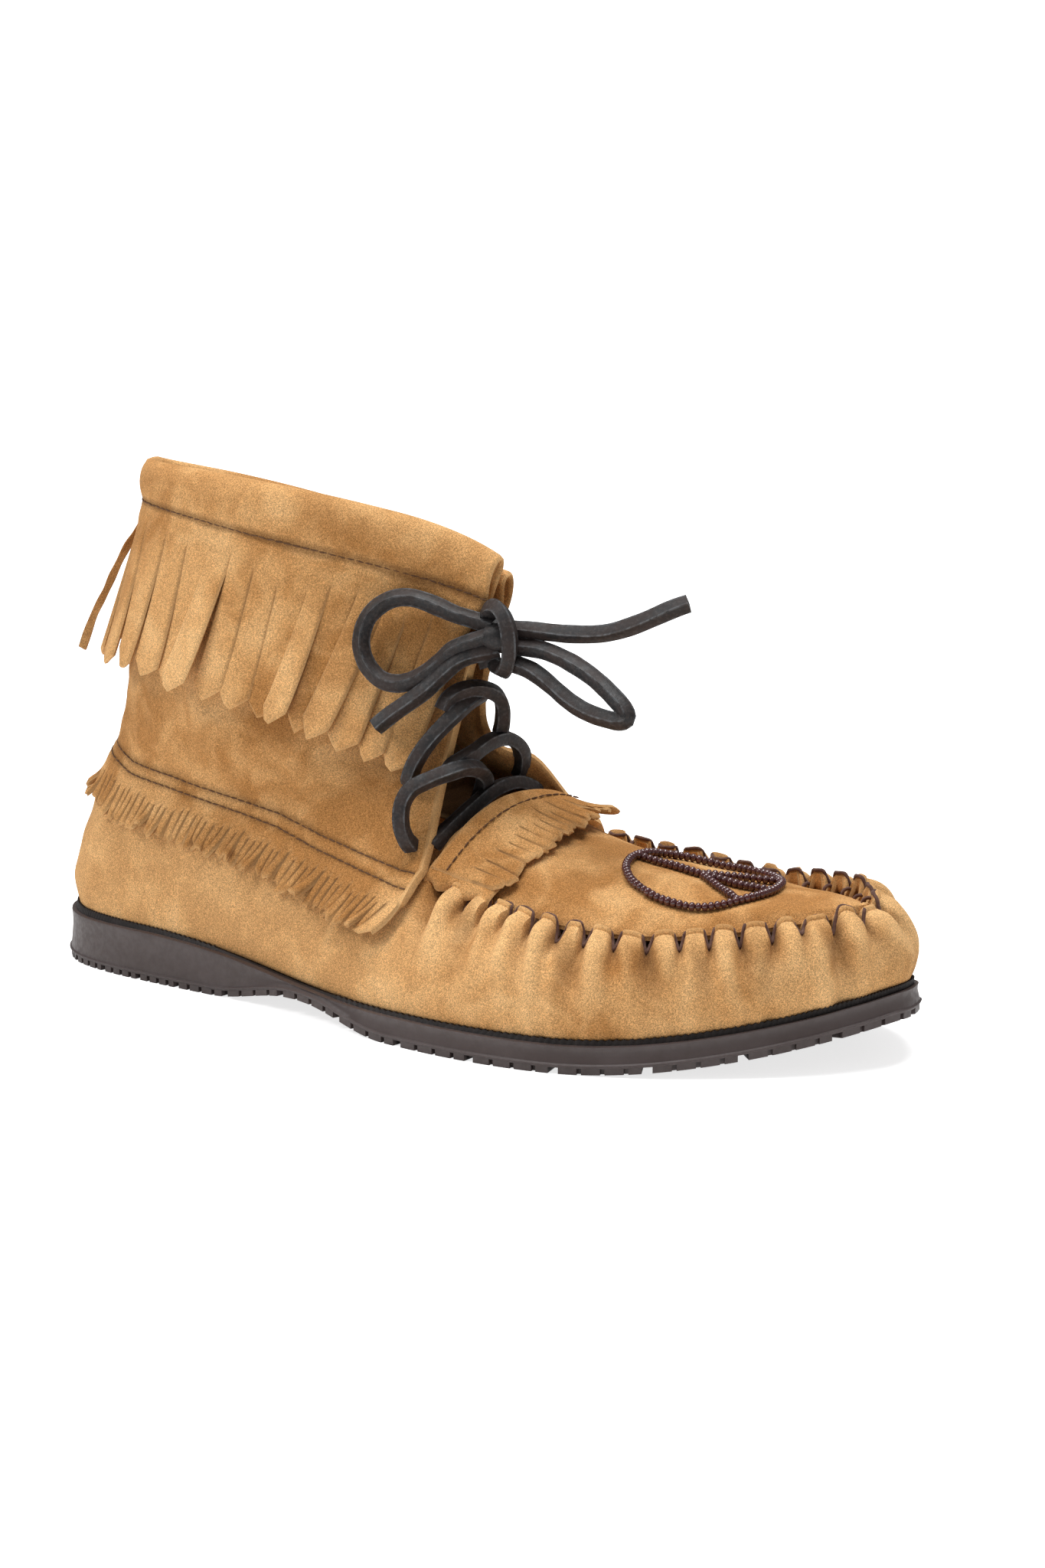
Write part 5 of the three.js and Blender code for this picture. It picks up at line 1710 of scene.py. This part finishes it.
TOP_BAR = [
    [150.8, -12.6, 109.6], [154.1, -13.2, 111.2], [157.6, -11.7, 112.8], [160.0, -7.0, 113.8],
    [161.0, -2.4, 113.6], [160.2, 2.4, 112.6], [157.6, 4.4, 111.7], [155.0, 3.2, 111.1],
    [153.4, 0.6, 110.8],
]
ARCH_BAR = [
    [151.3, -21.0, 92.4], [152.5, -19.5, 95.7], [155.1, -16.5, 98.0], [158.0, -12.0, 98.4],
    [161.0, -7.5, 96.5], [161.4, -4.5, 92.7], [160.1, -2.5, 87.2], [158.0, -1.0, 82.9],
]


def thong_section(side):
    """A square cut strip standing on its corner; the marks are 1 on its four nicked corners."""
    nick = 0.32
    reach = side / math.sqrt(2)
    points, marks = [], []
    for k in range(4):
        a = math.radians(90 * k)
        b = math.radians(90 * (k + 1))
        corner = np.array([math.cos(a), math.sin(a)]) * reach
        after = np.array([math.cos(b), math.sin(b)]) * reach
        along = unit(after - corner)
        before = np.array([along[1], -along[0]])
        points += [corner - corner / reach * nick * 0.75 - before * nick * 0.5,
                   corner - corner / reach * nick * 0.3,
                   corner - corner / reach * nick * 0.75 + along * nick * 0.72,
                   corner + along * side * 0.22,
                   (corner + after) / 2 * 0.985,
                   after - along * side * 0.22]
        marks += [1.0, 1.0, 1.0, 0.12, 0.0, 0.12]
    return np.array(points), np.array(marks)


def make_thong(name, route, material, side, roll, nodes, seed):
    """A run of the thong along a route, a little twisted and uneven as real lace is."""
    path = smooth_path(route, THONG_STEP)
    rng = np.random.default_rng(seed)
    turn = roll + 9 * np.sin(np.linspace(0, rng.uniform(2, 5), len(path)) + rng.uniform(0, 6))
    lefts, ups = carried_frames(path, BOW_OUT, turn)
    section, marks = thong_section(side)
    size = 1 + 0.025 * waver(path, 9, seed + 7)
    points, faces = swept(path, section, lefts, ups, size)
    piece = mesh_piece(name, points, faces, material, nodes, "thong_leather",
                       {"corner": np.tile(marks, len(path))}, crease=48)
    return piece, path


def make_bow(look, side):
    """The bow's knot, two loops and two ends, each a free run of the thong."""
    count = 46
    turn = np.radians(np.linspace(-150, 215, count))[:, None]
    deep = unit(BOW_OUT * [1, 1, 0]) * 5.6
    ring = (KNOT_AT + [0, 0, 9.0] * np.cos(turn) + (deep + BOW_ACROSS * 3.2) * np.sin(turn)
            + BOW_ACROSS * np.linspace(-1.6, 1.6, count)[:, None])
    knot, _ = make_thong("lace_knot_wrap", ring, look["thong"], side * 1.08, 45, ["lace_knot"], 3)
    core = smooth_path(KNOT_AT + np.array([[-3.2, -1.0, 0.8], [-1.2, -0.4, 0.5], [1.6, 0.8, 0.0],
                                           [4.4, 1.8, -0.6]]), THONG_STEP)
    lefts, ups = carried_frames(core, [0, 0, 1])
    points, faces = swept(core, round_section(4.4, 14), lefts, ups,
                          1 - 0.25 * np.abs(np.linspace(-1, 1, len(core))) ** 2)
    mid = mesh_piece("lace_knot_core", points, faces, look["thong"], ["lace_knot"],
                     "thong_leather")
    runs = [("bow_loop_lateral", LATERAL_LOOP, "lace_loop_lateral", "object", 8),
            ("bow_end_lateral", LATERAL_END, "lace_end_lateral", "bare", -20),
            ("bow_end_front", FRONT_END, "lace_end_front", "bare", 12),
            ("bow_loop_front", FRONT_LOOP, "lace_loop_front", "object", -6)]
    for seed, (name, route, node, far, roll) in enumerate(runs):
        piece, path = make_thong(name, route, look["thong"], side, roll, [node], 11 + seed)


def make_lace(look, side):
    """The lacing across the throat, hole to hole."""
    runs = [("lace_from_lower_hole", HOLE_BAR, ["lace_crossing"], 4),
            ("lace_lower_bar", LOWER_BAR, ["lace_crossing"], -8),
            ("lace_rising_bar", RISING_BAR, ["lace_crossing"], 10),
            ("lace_upper_bar", UPPER_BAR, ["lace_bar_upper"], -4),
            ("lace_arch", ARCH_BAR, [], 6),
            ("lace_top_bar", TOP_BAR, ["lace_bar_top"], 0)]
    for seed, (name, route, nodes, roll) in enumerate(runs):
        make_thong(name, route, look["thong"], side, roll, nodes, 31 + seed)


# ---- stitching ----
def make_stitches(look, pitch):
    tree = stitch_tree()

    def row_of(name, lines, facings, skew, seed):
        grown(name, lines, tree, look["stitch"], facings, Pitch=pitch * MM,
              Length=pitch * 1.04 * MM, Width=0.00052, Thickness=0.00055, Skew=skew, Seed=seed)

    turns = even_turns(0.8, 0.975, 260)
    crest, out = crest_frame(turns)
    depth = STITCH_DEPTH + 0.1
    p = shaft_at(turns, under_crest(turns, depth)) + out * (3.25 - seam_draw(turns))[:, None]
    p[:, 2] = crest[:, 2] - depth
    row_of("collar_stitching", [p], [out], 0.14, 3)
    turns = even_turns(0.0, 0.972, 300)
    rows = (shaft_face(turns, ankle_line(turns, below), 0.72) for below in (0.0, ROW_GAP))
    row_of("ankle_stitching", *zip(*rows), 0.1, 4)
    across, along = np.linspace(-0.92, 0.52, 80), np.linspace(0.034, 0.024, 80)
    row_of("kiltie_stitching", [over_plug(across, along, 2.62)],
           [facing_of(plug_at, along, across)], 0.1, 6)


# ---- stage ----
LENS = 69.02
CAMERA_AT = (0.5039, -0.73355, 0.2274)
CAMERA_DIP = 10.2
CAMERA_TURN = 33.1
# How brightly the floor looks at the boot, and how brightly it is seen near it and far off.
FLOOR_GLOW = 0.26
SEEN_NEAR, NEAR = 0.57, 0.6
SEEN_FAR, FAR = 1.0, 1.8
# Each softbox: its place, what it aims at, its width in m.
SOFTBOXES = {
    "Key softbox": ((-1.15, -0.95, 1.45), (0.0, 0.0, 0.06), 0.6),
    "Top softbox": ((0.0, 0.1, 1.9), (0.0, 0.0, 0.05), 1.2),
}


def make_stage(sizes):
    scene = bpy.context.scene
    camera_data = bpy.data.cameras.new("Camera")
    camera_data.lens = LENS
    camera_data.sensor_width = 36.0
    camera_data.sensor_fit = "AUTO"
    camera_data.clip_end = 20.0
    camera = bpy.data.objects.new("Camera", camera_data)
    camera.location = CAMERA_AT
    camera.rotation_euler = (math.radians(90 - CAMERA_DIP), 0, math.radians(CAMERA_TURN))
    scene.collection.objects.link(camera)
    scene.camera = camera
    scene.view_settings.view_transform = "Standard"
    scene.view_settings.exposure = sizes.exposure

    world = bpy.data.worlds.new("Soft daylight")
    world.use_nodes = True
    tree = world.node_tree
    tree.nodes.clear()
    seen = add(tree, "ShaderNodeLightPath").outputs["Is Camera Ray"]
    sky = add(tree, "ShaderNodeBackground", {
        "Color": rgb(255, 255, 255), "Strength": ranged(tree, seen, 0.0, 1.0, sizes.daylight, 1.0)})
    out = add(tree, "ShaderNodeOutputWorld")
    tree.links.new(sky.outputs[0], out.inputs[0])
    scene.world = world

    mesh = bpy.data.meshes.new("floor")
    mesh.from_pydata([(-6, -6, 0), (6, -6, 0), (6, 6, 0), (-6, 6, 0)], [], [(0, 1, 2, 3)])
    floor = bpy.data.objects.new("floor", mesh)
    material = bpy.data.materials.new("Pale floor")
    material.use_nodes = True
    tree = material.node_tree
    body = tree.nodes["Principled BSDF"].inputs
    body["Base Color"].default_value = (0.86, 0.86, 0.86, 1)
    body["Roughness"].default_value = 0.7
    body["Emission Color"].default_value = (1, 1, 1, 1)
    seen = add(tree, "ShaderNodeLightPath").outputs["Is Camera Ray"]
    away = add(tree, "ShaderNodeVectorMath", operation="LENGTH")
    tree.links.new(add(tree, "ShaderNodeTexCoord").outputs["Object"], away.inputs[0])
    glow = ranged(tree, away.outputs["Value"], NEAR, FAR, SEEN_NEAR, SEEN_FAR)
    mixed = add(tree, "ShaderNodeMix", {"Factor": seen, "A": FLOOR_GLOW, "B": glow},
                data_type="FLOAT")
    tree.links.new(mixed.outputs["Result"], body["Emission Strength"])
    mesh.materials.append(material)
    scene.collection.objects.link(floor)

    for (name, (place, aim, wide)), watts in zip(SOFTBOXES.items(), (sizes.key, sizes.top)):
        data = bpy.data.lights.new(name, "AREA")
        data.shape = "SQUARE"
        data.size = wide
        data.energy = watts
        lamp = bpy.data.objects.new(name, data)
        lamp.location = place
        way = np.array(aim) - np.array(place)
        flat = math.hypot(way[0], way[1])
        lamp.rotation_euler = (math.pi / 2 + math.atan2(way[2], flat), 0,
                               math.atan2(way[1], way[0]) - math.pi / 2)
        scene.collection.objects.link(lamp)


# ---- sizes, operators and panel ----
def millimetres(name, text, value):
    """A length for the panel, in mm."""
    return FloatProperty(name=name, description=text, default=value, min=0.05)


def colour(name, text, value):
    """A colour for the panel, given as a screen shows it."""
    return FloatVectorProperty(name=name, description=text, default=rgb(*value)[:3], size=3,
                               subtype="COLOR", min=0, max=1)


class BootSizes(bpy.types.PropertyGroup):
    """Sizes and colours of the boot"""
    wall: millimetres("Wall", "Thickness of the suede of the upper, in mm", 2.0)
    flap: millimetres("Flap", "Thickness of the suede of the fringed flap, in mm", 1.8)
    pucker_pitch: millimetres("Pucker pitch", "Distance between puckers on the seam, in mm", 8.75)
    thread: millimetres("Seam thread", "Thickness of the seam's thread, in mm", 1.12)
    thong: millimetres("Thong", "Side of the square lace thong, in mm", 4.0)
    stitch_pitch: millimetres("Stitch pitch", "Distance between machine stitches, in mm", 2.9)
    bead: millimetres("Bead", "Diameter of a bead, in mm", 2.6)
    bead_pitch: millimetres("Bead pitch", "Distance between beads, in mm", 1.8)
    hem_strips: IntProperty(name="Hem strips", description="Strips cut in the shaft's hem",
                            default=116, min=8)
    tan: colour("Tan", "Suede with its nap up", (204, 153, 97))
    tan_deep: colour("Deep tan", "Suede with its nap down", (176, 124, 71))
    # Besides brushed nap and wear, the pale tan paints highlights: on ridges, lifted strips, the
    # collar's roll and the lower wrap towards the heel.
    tan_pale: colour("Pale tan", "Suede brushed towards the light", (226, 180, 124))
    thong_colour: colour("Thong colour", "The dark lace", (30, 29, 30))
    rubber: colour("Rubber", "The sole", (66, 55, 53))
    bead_colour: colour("Bead colour", "The beads", (74, 34, 34))
    exposure: FloatProperty(name="Exposure", description="Stops over the camera's own", default=0.36)
    daylight: FloatProperty(name="Daylight", description="Strength of the white surroundings",
                            default=0.19, min=0)
    key: FloatProperty(name="Key light", description="Power of the softbox before the boot",
                       default=10.5, min=0, unit="POWER")
    top: FloatProperty(name="Top light", description="Power of the softbox over the boot",
                       default=30.0, min=0, unit="POWER")


def sizes_of(context):
    return context.scene.boot_sizes


class BOOT_OT_stage(bpy.types.Operator):
    """Sets up the camera, the floor and the light"""
    bl_idname = "boot.stage"
    bl_label = "Stage"

    def execute(self, context):
        make_stage(sizes_of(context))
        return {"FINISHED"}


class BOOT_OT_bow(bpy.types.Operator):
    """Ties the bow: knot, loops and ends"""
    bl_idname = "boot.bow"
    bl_label = "Bow"

    def execute(self, context):
        sizes = sizes_of(context)
        make_bow(materials(sizes), sizes.thong)
        return {"FINISHED"}


class BOOT_OT_lace(bpy.types.Operator):
    """Laces the throat from hole to hole"""
    bl_idname = "boot.lace"
    bl_label = "Lace"

    def execute(self, context):
        sizes = sizes_of(context)
        make_lace(materials(sizes), sizes.thong)
        return {"FINISHED"}


class BOOT_OT_sole(bpy.types.Operator):
    """Moulds the rubber sole and the black rim over it"""
    bl_idname = "boot.sole"
    bl_label = "Sole"

    def execute(self, context):
        make_sole(materials(sizes_of(context)))
        return {"FINISHED"}


class BOOT_OT_inside(bpy.types.Operator):
    """Lays the insole and the tongue"""
    bl_idname = "boot.inside"
    bl_label = "Inside"

    def execute(self, context):
        make_inside(materials(sizes_of(context)))
        return {"FINISHED"}


class BOOT_OT_vamp(bpy.types.Operator):
    """Draws the puckered wrap round the plug and threads the seam"""
    bl_idname = "boot.vamp"
    bl_label = "Wrap and plug"

    def execute(self, context):
        sizes = sizes_of(context)
        look = materials(sizes)
        folds = Puckers(sizes.pucker_pitch, 17)
        make_wrap(look, folds, sizes.wall)
        make_plug(look, sizes.wall)
        make_thread(look, folds, sizes.thread)
        return {"FINISHED"}


class BOOT_OT_beads(bpy.types.Operator):
    """Sews the ring of beads on the plug"""
    bl_idname = "boot.beads"
    bl_label = "Beads"

    def execute(self, context):
        sizes = sizes_of(context)
        make_beads(materials(sizes), sizes.bead, sizes.bead_pitch)
        return {"FINISHED"}


class BOOT_OT_shaft(bpy.types.Operator):
    """Stands up the shaft with its fringed hem"""
    bl_idname = "boot.shaft"
    bl_label = "Shaft"

    def execute(self, context):
        sizes = sizes_of(context)
        make_shaft(materials(sizes), sizes.wall, sizes.hem_strips)
        return {"FINISHED"}


class BOOT_OT_collar(bpy.types.Operator):
    """Rolls the collar and hangs its fringed flap"""
    bl_idname = "boot.collar"
    bl_label = "Collar and flap"

    def execute(self, context):
        sizes = sizes_of(context)
        make_collar(materials(sizes), sizes.flap)
        return {"FINISHED"}


class BOOT_OT_kiltie(bpy.types.Operator):
    """Lays the little fringed kiltie over the foot of the throat"""
    bl_idname = "boot.kiltie"
    bl_label = "Kiltie"

    def execute(self, context):
        sizes = sizes_of(context)
        make_kiltie(materials(sizes), sizes.wall)
        return {"FINISHED"}


class BOOT_OT_stitches(bpy.types.Operator):
    """Runs the rows of machine stitching"""
    bl_idname = "boot.stitches"
    bl_label = "Stitching"

    def execute(self, context):
        sizes = sizes_of(context)
        make_stitches(materials(sizes), sizes.stitch_pitch)
        return {"FINISHED"}


class BOOT_PT_panel(bpy.types.Panel):
    """Every piece of the boot, in the order in which it is made"""
    bl_label = "Fringed boot"
    bl_idname = "BOOT_PT_panel"
    bl_space_type = "VIEW_3D"
    bl_region_type = "UI"
    bl_category = "Boot"

    def draw(self, context):
        for step in STEPS:
            self.layout.operator(step.bl_idname)
        for name in BootSizes.__annotations__:
            self.layout.prop(sizes_of(context), name)


STEPS = (BOOT_OT_stage, BOOT_OT_bow, BOOT_OT_lace, BOOT_OT_sole, BOOT_OT_inside, BOOT_OT_vamp,
         BOOT_OT_beads, BOOT_OT_shaft, BOOT_OT_collar, BOOT_OT_kiltie, BOOT_OT_stitches)
CLASSES = (BootSizes, *STEPS, BOOT_PT_panel)


def register():
    for each in CLASSES:
        bpy.utils.register_class(each)
    bpy.types.Scene.boot_sizes = PointerProperty(type=BootSizes)


def unregister():
    del bpy.types.Scene.boot_sizes
    for each in reversed(CLASSES):
        bpy.utils.unregister_class(each)


def main():
    register()
    bpy.ops.boot.stage()
    bpy.ops.boot.bow()
    bpy.ops.boot.lace()
    bpy.ops.boot.sole()
    bpy.ops.boot.inside()
    bpy.ops.boot.vamp()
    bpy.ops.boot.beads()
    bpy.ops.boot.shaft()
    bpy.ops.boot.collar()
    bpy.ops.boot.kiltie()
    bpy.ops.boot.stitches()


if __name__ == "__main__":
    main()
